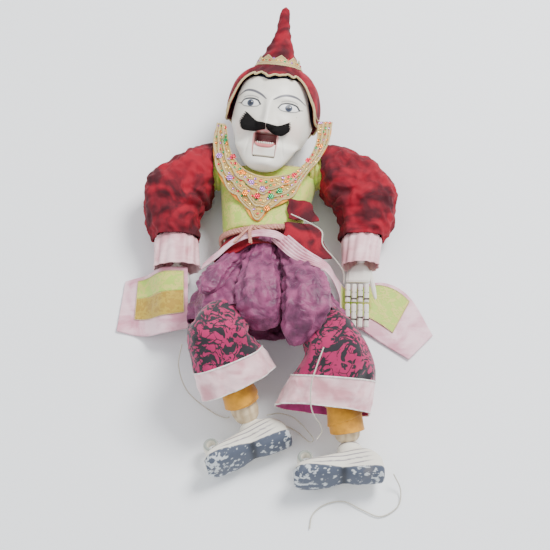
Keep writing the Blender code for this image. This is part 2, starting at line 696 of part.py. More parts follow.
def build_string(name, owner):
    route = smooth_route([Vector(point) for point in STRING_ROUTES[name]])
    curve = bpy.data.curves.new(name, "CURVE")
    curve.dimensions = "3D"
    curve.bevel_depth = CORD_RADIUS * MM
    curve.bevel_resolution = 2
    curve.use_fill_caps = True
    line = curve.splines.new("POLY")
    line.points.add(len(route) - 1)
    inverse = owner.matrix_world.inverted()
    for knot, point in zip(line.points, route):
        knot.co = (*(inverse @ place(point)), 1.0)
    curve.materials.append(material("string"))
    piece = bpy.data.objects.new(name, curve)
    bpy.context.scene.collection.objects.link(piece)
    piece.parent = owner


def main():
    clear_scene()
    torso = body("torso", Vector((-8, 100, 31)), X_AXIS)
    neck = body("neck", NECK, Y_AXIS, torso)
    head = body("head_body", NECK, HEAD_ACROSS, neck)
    front, height = JAW_PIVOT
    jaw = body("jaw_body", in_head(0, height, front), HEAD_ACROSS, head)
    pelvis = body("pelvis", WAIST, X_AXIS, torso)
    build_trunk(torso, pelvis)
    build_tails(pelvis)
    build_neck(neck)
    build_head(head)
    build_hat(head)
    build_jaw(jaw)
    feet = {}
    hands = {}
    for side in SIDES:
        shoulder, elbow, wrist = SHOULDER[side], ELBOW[side], WRIST[side]
        link = body(f"shoulder_{side}", shoulder, X_AXIS, torso)
        upper = body(f"arm_{side}", shoulder, Z_AXIS, link)
        fore = body(f"fore_{side}", elbow, (wrist - elbow).cross(Z_AXIS), upper)
        hand = body(f"hand_{side}", wrist, hand_axes(side)[0], fore)
        build_arm(side, link, upper, fore, hand)
        hands[side] = hand
        hip, knee, ankle = HIP[side], KNEE[side], ANKLE[side]
        link = body(f"hip_{side}", hip, X_AXIS, pelvis)
        upper = body(f"leg_{side}", hip, Z_AXIS, link)
        lower = body(f"shank_{side}", knee, (knee - hip).cross(ankle - knee), upper)
        build_leg(side, link, upper, lower)
        feet[side] = body(f"foot_{side}", ankle, shoe_axes(side)[0], lower)
        build_shoe(side, feet[side])
    across, _, along = hand_axes("left")
    roots, tips = [], []
    for finger in range(FINGER_COUNT):
        start = finger_start("left", finger)
        roots.append(body(f"finger_{finger + 1}_root", start, across, hands["left"]))
        knuckle = start + along * FINGER_REACH
        tips.append(body(f"finger_{finger + 1}_tip", knuckle, across, roots[finger]))
    build_fingers("left", roots, tips)
    across, _, along = hand_axes("right")
    row = body("fingers_root_right", KNUCKLE["right"], across, hands["right"])
    row_tip = body("fingers_tip_right", KNUCKLE["right"] + along * FINGER_REACH, across, row)
    build_finger_rows("right", row, row_tip)
    build_string("string_leg_right", feet["right"].parent)
    build_string("string_leg_left", feet["left"].parent)
    build_string("string_feet", feet["left"])
    build_string("string_hand_left", pelvis)
    build_string("string_loop_left", feet["left"])


main()
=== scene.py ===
"""The looks of the string puppet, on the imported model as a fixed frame.

Lengths are millimetres in the puppet's own layout, as in its CAD: place() turns them into
metres in the frame. The puppet's right side is at -X, the head is towards +Y, the face is up.
"""
import json
import math

import bmesh
import bpy
import numpy as np
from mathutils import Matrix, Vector, noise


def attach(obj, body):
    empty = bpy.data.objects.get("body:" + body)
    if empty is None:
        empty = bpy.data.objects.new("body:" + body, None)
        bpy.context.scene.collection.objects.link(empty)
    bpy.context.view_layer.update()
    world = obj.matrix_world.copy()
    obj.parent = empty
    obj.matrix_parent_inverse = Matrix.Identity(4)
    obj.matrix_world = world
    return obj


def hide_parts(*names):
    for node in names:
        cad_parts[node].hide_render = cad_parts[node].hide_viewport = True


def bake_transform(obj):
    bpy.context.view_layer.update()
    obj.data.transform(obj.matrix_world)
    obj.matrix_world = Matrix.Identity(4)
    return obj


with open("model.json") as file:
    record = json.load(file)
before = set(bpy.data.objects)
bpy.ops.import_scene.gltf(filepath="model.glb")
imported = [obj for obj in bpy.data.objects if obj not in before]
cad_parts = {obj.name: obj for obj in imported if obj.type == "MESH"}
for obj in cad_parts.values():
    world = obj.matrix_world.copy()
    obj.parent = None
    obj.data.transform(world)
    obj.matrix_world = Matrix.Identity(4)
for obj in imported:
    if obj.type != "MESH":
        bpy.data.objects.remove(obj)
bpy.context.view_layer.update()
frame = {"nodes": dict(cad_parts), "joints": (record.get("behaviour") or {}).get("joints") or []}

MM = 0.001
SHIFT = np.array((0.5, -34.45, -0.6))
FLOOR = 0.8  # no cloth goes below this in the layout, which is just above the floor
FOLD_FLOOR = 1.4  # the same for the middle of a thick fold
SIDES = ("right", "left")
X, Y, Z = np.eye(3)
JOINTS = {joint["name"]: joint for joint in frame["joints"]}


def place(points):
    return (np.asarray(points, float) + SHIFT) * MM


def joint_at(name):
    return np.array(JOINTS[name]["pos_m"]) / MM - SHIFT


def unit(vector):
    vector = np.asarray(vector, float)
    return vector / np.linalg.norm(vector)


NECK = joint_at("head_nod")
ELBOW = {side: joint_at(f"elbow_{side}") for side in SIDES}
WRIST = {side: joint_at(f"wrist_{side}") for side in SIDES}
SHOULDER = {side: joint_at(f"shoulder_swing_{side}") for side in SIDES}
HIP = {side: joint_at(f"hip_swing_{side}") for side in SIDES}
KNEE = {side: joint_at(f"knee_{side}") for side in SIDES}
ANKLE = {side: joint_at(f"ankle_{side}") for side in SIDES}


# Materials ------------------------------------------------------------------------------

class Look:
    """A Principled material that is built up from procedural nodes."""

    def __init__(self, name, rough=0.8, **constants):
        self.material = bpy.data.materials.new(name)
        self.material.use_nodes = True
        self.nodes = self.material.node_tree.nodes
        self.links = self.material.node_tree.links
        self.shader = self.nodes["Principled BSDF"]
        self.shader.inputs["Roughness"].default_value = rough
        for key, value in constants.items():
            self.shader.inputs[key.replace("_", " ")].default_value = value
        self.place = self.nodes.new("ShaderNodeTexCoord").outputs["Object"]
        self.relief = None

    def node(self, kind, inputs=(), output=0, **settings):
        made = self.nodes.new(kind)
        for key, value in settings.items():
            setattr(made, key, value)
        for key, value in inputs:
            if isinstance(value, bpy.types.NodeSocket):
                self.links.new(value, made.inputs[key])
            else:
                made.inputs[key].default_value = value
        return made.outputs[output]

    def noise(self, scale, detail=4.0, where=None, distortion=0.0):
        return self.node("ShaderNodeTexNoise", [("Vector", where or self.place), ("Scale", scale),
                                                ("Detail", detail), ("Distortion", distortion)])

    def stretched(self, x, y, z):
        return self.node("ShaderNodeMapping", [("Vector", self.place), ("Scale", (x, y, z))])

    def cells(self, scale, where=None, feature="F1"):
        return self.node("ShaderNodeTexVoronoi", [("Vector", where or self.place),
                                                  ("Scale", scale)], feature=feature)

    def wave(self, scale, where=None, distortion=0.0, direction="X"):
        return self.node("ShaderNodeTexWave", [("Vector", where or self.place), ("Scale", scale),
                                               ("Distortion", distortion)],
                         bands_direction=direction)

    def step(self, value, low, high):
        """A smooth step from 0 to 1 as value goes from low to high."""
        return self.node("ShaderNodeMapRange",
                         [("Value", value), ("From Min", low), ("From Max", high)],
                         interpolation_type="SMOOTHSTEP")

    def calc(self, operation, first, second):
        return self.node("ShaderNodeMath", [(0, first), (1, second)], operation=operation)

    def mix(self, share, first, second):
        colours = [(*c, 1.0) if isinstance(c, tuple) else c for c in (first, second)]
        return self.node("ShaderNodeMix", [(0, share), (6, colours[0]), (7, colours[1])],
                         output=2, data_type="RGBA")

    def colour(self, socket):
        self.links.new(socket, self.shader.inputs["Base Color"])
        return self

    def rough(self, socket, low, high):
        value = self.node("ShaderNodeMapRange", [("Value", socket), ("To Min", low),
                                                 ("To Max", high)])
        self.links.new(value, self.shader.inputs["Roughness"])
        return self

    def bump(self, height, depth_mm, strength=0.6):
        inputs = [("Height", height), ("Distance", depth_mm * MM), ("Strength", strength)]
        if self.relief:
            inputs.append(("Normal", self.relief))
        self.relief = self.node("ShaderNodeBump", inputs)
        self.links.new(self.relief, self.shader.inputs["Normal"])
        return self

    def painted(self):
        return self.node("ShaderNodeAttribute", attribute_name="paint")


def velvet():
    look = Look("crimson_velvet", 0.9, Sheen_Weight=0.10, Sheen_Roughness=0.4,
                Sheen_Tint=(1.0, 0.08, 0.12, 1.0))
    # Crushed-velvet tone, partly real and partly painted shade: the dark colour lies in the hollows
    # of the crush bump, like shade in folds.
    crush_and_shade = look.noise(42, 5, distortion=0.8)
    look.colour(look.mix(look.step(crush_and_shade, 0.34, 0.68), (0.05, 0.000, 0.005), (0.30, 0.000, 0.014)))
    look.bump(crush_and_shade, 2.2, 0.5)
    return look.bump(look.noise(1900, 2), 0.25, 0.5).material


def brocade(name, ground, figure, lit):
    look = Look(name, 0.55, Sheen_Weight=0.25)
    flower = look.cells(95, look.stretched(1, 1, 0.6))
    vine = look.noise(130, 3, distortion=2.2)
    pattern = look.calc("MULTIPLY", look.step(flower, 0.30, 0.42), look.step(vine, 0.42, 0.54))
    tone = look.mix(look.noise(16, 4), ground, lit)
    look.colour(look.mix(pattern, tone, figure))
    look.bump(pattern, 0.3, 0.5)
    look.bump(look.noise(30, 5, distortion=0.6), 1.6, 0.45)
    return look.bump(look.wave(900, direction="DIAGONAL"), 0.12, 0.35).material


def satin(name, dark, light):
    look = Look(name, 0.42, Sheen_Weight=0.3, Anisotropic=0.35)
    crease = look.noise(38, 6, look.stretched(1.0, 0.7, 1.0), 0.9)
    slub = look.noise(160, 3, look.stretched(0.15, 1.5, 1.0))
    look.colour(look.mix(look.step(look.calc("ADD", crease, look.calc("MULTIPLY", slub, 0.25)),
                                   0.42, 0.80), dark, light))
    look.rough(crease, 0.34, 0.62)
    look.bump(crease, 1.8, 0.5)
    return look.bump(slub, 0.25, 0.5).material


def taffeta():
    look = Look("mauve_taffeta", 0.5, Sheen_Weight=0.15, Sheen_Tint=(1.0, 0.7, 0.95, 1.0))
    crumple = look.noise(46, 7, distortion=1.4)
    ground = look.mix(look.step(crumple, 0.30, 0.70), (0.09, 0.010, 0.05), (0.29, 0.055, 0.15))
    fleck = look.step(look.cells(330), 0.16, 0.10)
    patch = look.step(look.noise(70, 2), 0.46, 0.58)
    look.colour(look.mix(look.calc("MULTIPLY", fleck, patch), ground, (0.08, 0.02, 0.06)))
    look.rough(crumple, 0.38, 0.65)
    look.bump(crumple, 3.6, 0.9)
    return look.bump(look.noise(120, 6, distortion=2.0), 1.4, 0.7).material


def leaf_print():
    """Charcoal leaves and stems on a magenta ground."""
    look = Look("leaf_print", 0.85, Sheen_Weight=0.2)
    bend = look.noise(55, 2)
    where = look.node("ShaderNodeVectorMath", [(0, look.place), (1, look.node(
        "ShaderNodeVectorMath", [(0, look.node("ShaderNodeCombineXYZ", [(0, bend), (1, bend),
                                                                       (2, bend)])),
                                 ("Scale", 0.012)], operation="SCALE"))], operation="ADD")
    leaf = look.step(look.noise(85, 3, where, 1.9), 0.490, 0.515)
    stem = look.step(look.cells(120, where, "DISTANCE_TO_EDGE"), 0.055, 0.025)
    dark = look.calc("MAXIMUM", leaf, look.calc("MULTIPLY", stem, look.step(
        look.noise(60), 0.45, 0.55)))
    magenta = look.mix(look.noise(30), (0.27, 0.004, 0.06), (0.50, 0.010, 0.12))
    look.colour(look.mix(dark, magenta, (0.012, 0.009, 0.014)))
    look.bump(look.noise(40, 5), 1.4, 0.5)
    return look.bump(look.wave(1100), 0.12, 0.4).material


def felt(name, dark, light, grain=60):
    look = Look(name, 0.85, Sheen_Weight=0.35)
    worn = look.noise(grain, 5)
    look.colour(look.mix(look.step(worn, 0.32, 0.68), dark, light))
    look.bump(worn, 1.2, 0.5)
    return look.bump(look.noise(900, 3), 0.2, 0.5).material


def carved_wood(name, dark, light):
    look = Look(name, 0.6)
    rings = look.wave(45, look.stretched(1, 0.12, 1), 9.0)
    look.colour(look.mix(look.calc("MULTIPLY", rings, look.noise(90)), light, dark))
    return look.bump(rings, 0.08, 0.25).material


def old_paint(name, ground, dirt, chip, rough=0.42):
    """Hand-laid paint over wood: brush marks, grime in patches and a few small chips."""
    look = Look(name, rough, Coat_Weight=0.12, Coat_Roughness=0.35)
    stroke = look.noise(140, 4, look.stretched(1, 0.35, 1))
    grime = look.step(look.noise(34, 6), 0.52, 0.78)
    chips = look.step(look.noise(260, 3), 0.70, 0.74)
    tone = look.mix(look.calc("MULTIPLY", grime, 0.45), ground, dirt)
    look.colour(look.mix(chips, tone, chip))
    look.bump(stroke, 0.25, 0.4)
    return look.bump(chips, -0.2, 0.5).material


def painted_look(name, rough=0.45, coat=0.15):
    """Reads the hand-painted colours off the mesh, then ages them."""
    look = Look(name, rough, Coat_Weight=coat, Coat_Roughness=0.3)
    grime = look.step(look.noise(42, 6), 0.55, 0.85)
    aged = look.mix(look.calc("MULTIPLY", grime, 0.28), look.painted(), (0.42, 0.34, 0.24))
    chips = look.step(look.noise(300, 3), 0.715, 0.75)
    look.colour(look.mix(chips, aged, (0.55, 0.46, 0.34)))
    look.bump(look.noise(170, 4), 0.22, 0.4)
    return look.bump(chips, -0.15, 0.4).material


def braid(name, dark, light, metallic=0.4):
    look = Look(name, 0.42, Metallic=metallic)
    cord = look.wave(420, distortion=2.0, direction="DIAGONAL")
    look.colour(look.mix(cord, dark, light))
    return look.bump(cord, 0.5, 0.8).material


def sequin(name, colour):
    look = Look(name, 0.22, Metallic=0.85)
    lit = tuple(min(1.0, 1.5 * c + 0.04) for c in colour)
    look.colour(look.mix(look.noise(500, 2), colour, lit))
    return look.bump(look.noise(700, 2), 0.15, 0.5).material


def twisted_string():
    look = Look("cotton_string", 0.9, Sheen_Weight=0.3)
    ply = look.wave(640, distortion=1.0, direction="DIAGONAL")
    look.colour(look.mix(ply, (0.52, 0.47, 0.36), (0.86, 0.82, 0.72)))
    return look.bump(ply, 0.35, 0.9).material


def hair():
    look = Look("black_hair", 0.8, Specular_IOR_Level=0.15)
    strand = look.noise(500, 3, look.stretched(0.2, 2.0, 1.0))
    look.colour(look.mix(strand, (0.002, 0.002, 0.002), (0.014, 0.012, 0.012)))
    return look.bump(strand, 0.3, 0.6).material


MAT = {
    "velvet": velvet(),
    "brocade": brocade("lime_brocade", (0.33, 0.50, 0.04), (0.60, 0.58, 0.12), (0.52, 0.68, 0.10)),
    "bib": brocade("bib_gold", (0.32, 0.18, 0.02), (0.64, 0.40, 0.08), (0.62, 0.42, 0.09)),
    "ochre_patch": brocade("ochre_brocade", (0.36, 0.20, 0.01), (0.50, 0.34, 0.03),
                           (0.44, 0.28, 0.02)),
    "bib_edge": felt("bib_orange", (0.60, 0.16, 0.01), (0.92, 0.36, 0.02), 120),
    "satin": satin("pink_satin", (0.58, 0.22, 0.30), (0.90, 0.60, 0.66)),
    "cuff": satin("cuff_satin", (0.62, 0.26, 0.30), (0.92, 0.62, 0.64)),
    "taffeta": taffeta(),
    "print": leaf_print(),
    "lining": felt("magenta_lining", (0.30, 0.02, 0.12), (0.55, 0.05, 0.24)),
    "stocking": felt("ochre_felt", (0.42, 0.17, 0.005), (0.78, 0.35, 0.012)),
    "wood": carved_wood("bare_wood", (0.36, 0.24, 0.12), (0.70, 0.56, 0.36)),
    "hand": old_paint("hand_paint", (0.80, 0.76, 0.68), (0.40, 0.33, 0.24), (0.50, 0.40, 0.27)),
    "face": painted_look("face_paint"),
    "shoe": painted_look("shoe_paint", 0.6, 0.05),
    "jaw": old_paint("jaw_paint", (0.84, 0.80, 0.71), (0.60, 0.35, 0.30), (0.50, 0.40, 0.30)),
    "lip": old_paint("lip_paint", (0.72, 0.20, 0.20), (0.40, 0.10, 0.10), (0.62, 0.40, 0.36), 0.3),
    "tongue": old_paint("tongue_paint", (0.66, 0.26, 0.30), (0.40, 0.10, 0.14), (0.7, 0.4, 0.4)),
    "tooth": old_paint("tooth_paint", (0.86, 0.84, 0.76), (0.55, 0.45, 0.30), (0.6, 0.5, 0.4), 0.3),
    "gold_braid": braid("gold_braid", (0.42, 0.24, 0.06), (0.92, 0.70, 0.34)),
    "cream_braid": braid("cream_braid", (0.42, 0.30, 0.12), (0.80, 0.66, 0.34), 0.0),
    "belt": braid("belt_braid", (0.40, 0.08, 0.09), (0.86, 0.50, 0.36), 0.2),
    "piping": felt("white_piping", (0.62, 0.56, 0.52), (0.90, 0.87, 0.82), 300),
    "string": twisted_string(),
    "hair": hair(),
}
SEQUINS = [sequin(name, colour) for name, colour in (
    ("sequin_lilac", (0.34, 0.14, 0.42)), ("sequin_red", (0.48, 0.01, 0.03)),
    ("sequin_green", (0.01, 0.22, 0.07)), ("sequin_orange", (0.72, 0.18, 0.01)),
    ("sequin_gold", (0.70, 0.44, 0.10)))]


# Mesh helpers ---------------------------------------------------------------------------

def link(name, data):
    made = bpy.data.objects.new(name, data)
    bpy.context.scene.collection.objects.link(made)
    return made


def piece(name, mesh, *materials):
    mesh.shade_smooth()
    for material in materials:
        mesh.materials.append(material)
    return link(name, mesh)


def finished(name, work, *materials):
    """The piece that a bmesh has been building."""
    mesh = bpy.data.meshes.new(name)
    work.to_mesh(mesh)
    work.free()
    return piece(name, mesh, *materials)


def circle(count):
    return np.linspace(0, 2 * math.pi, count, endpoint=False)


def between(first, last, rows):
    """A grid of rows from one line of points to another, and each row's share of the way."""
    share = np.linspace(0, 1, rows)[:, None, None]
    return first[None] * (1 - share) + last[None] * share, share


def skin(name, points, *materials, wrap=True, ends=False, thickness=0.0, paint=None):
    """A surface through a grid of layout points; wrap joins the last column to the first."""
    points = points.copy()
    points[..., 2] = np.maximum(points[..., 2], FLOOR + thickness / 2)
    rows, columns = points.shape[:2]
    span = columns if wrap else columns - 1
    faces = []
    for row in range(rows - 1):
        for column in range(span):
            after = (column + 1) % columns
            faces.append((row * columns + column, row * columns + after,
                          (row + 1) * columns + after, (row + 1) * columns + column))
    if ends:
        faces.append(tuple(reversed(range(columns))))
        faces.append(tuple(range((rows - 1) * columns, rows * columns)))
    mesh = bpy.data.meshes.new(name)
    mesh.from_pydata(place(points.reshape(-1, 3)).tolist(), [], faces)
    if paint is not None:
        layer = mesh.color_attributes.new("paint", "FLOAT_COLOR", "POINT")
        flat = np.ones((rows * columns, 4))
        flat[:, :3] = paint.reshape(-1, 3)
        layer.data.foreach_set("color", flat.ravel())
    work = bmesh.new()
    work.from_mesh(mesh)
    bmesh.ops.recalc_face_normals(work, faces=work.faces)
    work.to_mesh(mesh)
    work.free()
    made = piece(name, mesh, *materials)
    if thickness:
        wall = made.modifiers.new("wall", "SOLIDIFY")
        wall.thickness = thickness * MM
        wall.offset = 0
        wall.material_offset = len(materials) - 1
    return made


def strand(name, routes, radius, material, closed=False, resolution=3):
    """Round cords through lists of layout points, as one curve object."""
    curve = bpy.data.curves.new(name, "CURVE")
    curve.dimensions = "3D"
    curve.bevel_depth = radius * MM
    curve.bevel_resolution = resolution
    curve.use_fill_caps = True
    for route in routes:
        route = np.array(route)
        route[:, 2] = np.maximum(route[:, 2], FLOOR + radius)
        line = curve.splines.new("POLY")
        line.points.add(len(route) - 1)
        flat = np.ones((len(route), 4))
        flat[:, :3] = place(route)
        line.points.foreach_set("co", flat.ravel())
        line.use_cyclic_u = closed
    curve.materials.append(material)
    return link(name, curve)


def rings(name, routes, radius, material):
    """Closed round cords as one mesh, for trims that bend with cloth."""
    work = bmesh.new()
    turn = circle(8)
    for route in routes:
        along = np.roll(route, -1, axis=0) - np.roll(route, 1, axis=0)
        along /= np.linalg.norm(along, axis=1, keepdims=True)
        away = route - route.mean(axis=0)
        away -= along * (away * along).sum(axis=1, keepdims=True)
        away /= np.linalg.norm(away, axis=1, keepdims=True)
        side = np.cross(along, away)
        loops = [[work.verts.new(place(spot + radius * (math.cos(t) * out + math.sin(t) * over)))
                  for t in turn] for spot, out, over in zip(route, away, side)]
        for ring, after in zip(loops, loops[1:] + loops[:1]):
            for k in range(8):
                work.faces.new((ring[k], ring[(k + 1) % 8], after[(k + 1) % 8], after[k]))
    bmesh.ops.recalc_face_normals(work, faces=work.faces)
    return finished(name, work, material)


def spline(points, count):
    """count rows on a Catmull-Rom curve through rows of numbers."""
    points = np.asarray(points, float)
    ends = np.vstack([2 * points[0] - points[1], points, 2 * points[-1] - points[-2]])
    spot = np.linspace(0, len(points) - 1, count)
    first = np.minimum(spot.astype(int), len(points) - 2)
    t = (spot - first)[:, None]
    a, b, c, d = (ends[first + k] for k in range(4))
    return (2 * b + (c - a) * t + (2 * a - 5 * b + 4 * c - d) * t ** 2
            + (3 * b - a - 3 * c + d) * t ** 3) / 2


def rounded(angles, power):
    c, s = np.cos(angles), np.sin(angles)
    return np.sign(c) * np.abs(c) ** (2 / power), np.sign(s) * np.abs(s) ** (2 / power)


def tube_grid(sections, rows, columns, wrinkle, power=2.3):
    """A tube through (centre, direction, half across, half up), swollen by wrinkle."""
    table = spline([[*c, *unit(d), wide, high] for c, d, wide, high in sections], rows)
    angles = circle(columns)
    cx, sx = rounded(angles, power)
    grid = np.zeros((rows, columns, 3))
    for row, values in enumerate(table):
        centre, along = values[:3], unit(values[3:6])
        across = unit(np.cross(along, Z))
        up = np.cross(across, along)
        swell = wrinkle(row / (rows - 1), angles)
        grid[row] = (centre + np.outer((values[6] + swell) * cx, across)
                     + np.outer((values[7] + swell) * sx, up))
    return grid


def girdle_grid(sections, rows, columns, wrinkle, power=2.6):
    """A band round the trunk through (Y, middle X, middle Z, half X, half Z)."""
    table = spline(sections, rows)
    angles = circle(columns)
    cx, sx = rounded(angles, power)
    grid = np.zeros((rows, columns, 3))
    for row, (y, x, z, wide, high) in enumerate(table):
        swell = wrinkle(row / (rows - 1), angles)
        grid[row, :, 0] = x + (wide + swell) * cx
        grid[row, :, 1] = y
        grid[row, :, 2] = z + (high + swell) * sx
    return grid


def crumple(grid, size, depth, seed):
    """Pushes a cloth grid along its own normals by ridged noise."""
    along = np.gradient(grid, axis=0)
    around = np.roll(grid, -1, axis=1) - np.roll(grid, 1, axis=1)
    normal = np.cross(along, around)
    normal /= np.maximum(np.linalg.norm(normal, axis=2, keepdims=True), 1e-9)
    out = grid.copy()
    for row in range(grid.shape[0]):
        for column in range(grid.shape[1]):
            spot = Vector(grid[row, column] / size) + Vector((seed, 2 * seed, 0.5 * seed))
            ridge = 0.5 - abs(noise.noise(spot)) * 1.6 + 0.35 * noise.noise(spot * 2.3)
            out[row, column] += normal[row, column] * depth * ridge
    out[..., 2] = np.maximum(out[..., 2], FOLD_FLOOR)
    return out


def along_rim(grid, row, lift=0.0):
    """A ring of a grid, moved out a little from its middle."""
    ring = grid[row]
    middle = ring.mean(axis=0)
    away = ring - middle
    return ring + away / np.linalg.norm(away, axis=1, keepdims=True) * lift


# Camera, floor and light ----------------------------------------------------------------

CAMERA_LIFT = math.radians(65)
CAMERA_AWAY = 1.6
AIM = Vector((0.0005, -0.0345, 0.0394))
SENSOR_MM, LENS_MM = 36, 104.7
STAGE_HALF, STAGE_TOP = 3.0, -0.0004


def build_stage():
    camera = bpy.data.cameras.new("camera")
    camera.sensor_width = SENSOR_MM
    camera.lens = LENS_MM
    eye = link("camera", camera)
    eye.location = AIM + Vector((0, -math.cos(CAMERA_LIFT), math.sin(CAMERA_LIFT))) * CAMERA_AWAY
    eye.rotation_euler = (math.pi / 2 - CAMERA_LIFT, 0, 0)
    bpy.context.scene.camera = eye

    mesh = bpy.data.meshes.new("floor")
    mesh.from_pydata([(x * STAGE_HALF, y * STAGE_HALF, STAGE_TOP)
                      for x, y in ((-1, -1), (1, -1), (1, 1), (-1, 1))], [], [(0, 1, 2, 3)])
    paper = Look("pale_floor", 0.9)
    paper.colour(paper.mix(paper.noise(3, 3), (0.90, 0.92, 0.94), (0.94, 0.95, 0.96)))
    paper.bump(paper.noise(400, 3), 0.05, 0.2)
    piece("floor", mesh, paper.material)

    for name, spot, size, power in (("key", (1.0, 0.9, 1.9), 0.8, 78),
                                    ("fill", (-1.4, -0.8, 1.8), 1.8, 14)):
        lamp = bpy.data.lights.new(name, "AREA")
        lamp.size = size
        lamp.energy = power
        holder = link(name, lamp)
        holder.location = spot
        holder.rotation_euler = (-Vector(spot)).to_track_quat("-Z", "Y").to_euler()
    world = bpy.data.worlds.new("studio")
    world.use_nodes = True
    sky = world.node_tree.nodes["Background"]
    sky.inputs["Color"].default_value = (0.93, 0.96, 1.0, 1.0)
    sky.inputs["Strength"].default_value = 1.0
    bpy.context.scene.world = world


# The strings: the routes repeat those of the CAD ----------------------------------------

STRINGS = {
    "string_leg_right": ("shank_right", 0.115, "object",
                         ((-90, -84, 62), (-94, -98, 38), (-86, -114, 12), (-64, -131, 4),
                          (-50, -139, 6), (-45, -141, 13))),
    "string_leg_left": ("shank_left", 0.105, "object",
                        ((46, -100, 93), (39, -118, 88), (34, -134, 78), (35, -151, 60),
                         (45, -161, 36), (40, -171, 33))),
    "string_feet": ("foot_left", 0.112, "object",
                    ((-8, -140, 16), (4, -137, 13), (18, -141, 12), (30, -153, 13),
                     (37, -164, 15), (33, -165, 9), (22, -154, 6), (8, -146, 5), (-5, -143, 7))),
    "string_hand_left": ("pelvis", 0.118, "object",
                         ((16, 54, 68), (33, 46, 66), (46, 30, 78), (47, 14, 80), (60, 6, 62),
                          (68, 2, 44), (69, -6, 33))),
    "string_loop_left": ("foot_left", 0.142, "bare",
                         ((114, -200, 16), (121, -212, 5), (118, -228, 2), (101, -238, 2),
                          (83, -231, 2), (66, -223, 2), (48, -226, 2), (36, -236, 2),
                          (33, -250, 2))),
}
CORD_RADIUS = 0.65


def build_strings():
    for node, (body, length, far_end, route) in STRINGS.items():
        made = strand(node + "_twist", [spline(route, 40)], CORD_RADIUS, MAT["string"])
        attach(made, body)
        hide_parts(node)


# The head -------------------------------------------------------------------------------

PITCH, LEAN, TURN = (math.radians(angle) for angle in (22, 7, 5))
STRAIGHT_UP = np.array((0, math.cos(PITCH), math.sin(PITCH)))
STRAIGHT_AHEAD = np.array((0, -math.sin(PITCH), math.cos(PITCH)))
HEAD_UP = STRAIGHT_UP * math.cos(LEAN) + X * math.sin(LEAN)
LEVEL = X * math.cos(LEAN) - STRAIGHT_UP * math.sin(LEAN)
HEAD_FRONT = STRAIGHT_AHEAD * math.cos(TURN) - LEVEL * math.sin(TURN)
HEAD_ACROSS = LEVEL * math.cos(TURN) + STRAIGHT_AHEAD * math.sin(TURN)
HEAD_POWER = 2.2
# Height above the neck, half width, front and back.
SKULL = ((-25, 4, 37, 33), (-23, 12, 41, 31), (-18, 19, 45, 27), (-8, 26.5, 46, 18),
         (0, 31, 46, 13), (7, 34.5, 45, -22),
         (17, 38, 45, -40), (30, 41, 45, -47), (46, 42, 44, -48), (60, 39, 41, -46),
         (70, 34, 36, -40), (77, 26, 28, -32), (82, 15, 17, -20))
SKULL_LINE = spline(SKULL, 260)
EYES = ((-20.0, 43.2, -0.04), (19.5, 41.4, 0.04))
EYE_HALF, LID_TOP, LID_LOW = 10.4, 5.2, 3.4
MOUTH = (-10.8, 10.8, -10.6, 14.4)
IVORY = np.array((0.84, 0.80, 0.71))
INK = np.array((0.012, 0.014, 0.022))
LIP_RED = (0.70, 0.26, 0.25)
HAIRS, HAIRS_A_LAYER = 320, 64  # on each side of the moustache


def in_head(across, up, front):
    return (NECK + np.multiply.outer(across, HEAD_ACROSS) + np.multiply.outer(up, HEAD_UP)
            + np.multiply.outer(front, HEAD_FRONT))


def skull_at(height):
    return [np.interp(height, SKULL_LINE[:, 0], SKULL_LINE[:, column]) for column in (1, 2, 3)]


def hump(a, u, centre, width, height):
    return np.exp(-((a - centre[0]) / width) ** 2 - ((u - centre[1]) / height) ** 2)


def soft_step(value, low, high):
    t = np.clip((value - low) / (high - low), 0, 1)
    return t * t * (3 - 2 * t)


def brim_line(a):
    """The height of the hood's edge over the face: level in front, steep at the temples."""
    dip = 3.6 * np.exp(-((a + 3) / 7.0) ** 2)
    return 76.5 - dip - 46 * soft_step(np.abs(a - 0.5), 29.0, 44.0) ** 1.1


def mouth_hole(a, u):
    left, right, low, high = MOUTH
    return (soft_step(a, left - 0.7, left + 0.5) * soft_step(-a, -right - 0.7, -right + 0.5)
            * soft_step(u, low - 0.7, low + 0.5) * soft_step(-u, -high - 0.7, -high + 0.5))


def face_relief(a, u):
    """How far the carving stands out from the plain head, in front."""
    bridge = np.interp(u, (17.5, 19, 22, 30, 40, 48, 56), (0, 7.5, 11.5, 9, 5.5, 2.5, 0))
    width = np.interp(u, (17, 23, 34, 46, 56), (6.0, 5.6, 4.0, 4.2, 7.0))
    out = bridge * np.exp(-np.abs((a + 0.5) / width) ** 2.4)
    for x, y, _ in EYES:
        out -= 3.0 * hump(a, u, (x, y), 12.5, 7.5)
        out += 3.0 * hump(a, u, (x, y), 8.6, 4.6)
        out += 1.5 * hump(a, u, (x, y + 9.5), 13, 3.6)
    for side in (-1, 1):
        out += 3.6 * hump(a, u, (side * 6.6, 22.3), 3.0, 3.4)
        out += 2.8 * hump(a, u, (side * 26, 20), 10, 11)
        fold = (a - side * (13.5 + 0.18 * (24 - u)))
        out -= 0.9 * np.exp(-(fold / 1.3) ** 2) * soft_step(u, -12, -4) * soft_step(-u, -26, -18)
    out += 1.8 * hump(a, u, (0, 16.6), 12, 2.2) + 3.2 * hump(a, u, (1, -17), 10, 5)
    return out - 15 * mouth_hole(a, u)


def face_front(a, u, lift):
    """The front of the carved face at a place on it."""
    half, front, back = skull_at(u)
    share = np.clip(np.abs(a) / half, 0, 0.985)
    depth = (front - back) / 2 * (1 - share ** HEAD_POWER) ** (1 / HEAD_POWER)
    return (front + back) / 2 + depth + face_relief(a, u) + lift


def stroke(a, u, points, widths, edge=0.35):
    """How much of a brush stroke covers each place; the widths follow the points."""
    line = spline([[*point, width] for point, width in zip(points, widths)], 40)
    cover = np.zeros_like(a)
    for x, y, width in line:
        away = np.hypot(a - x, u - y)
        cover = np.maximum(cover, 1 - soft_step(away, width - edge, width + edge))
    return cover


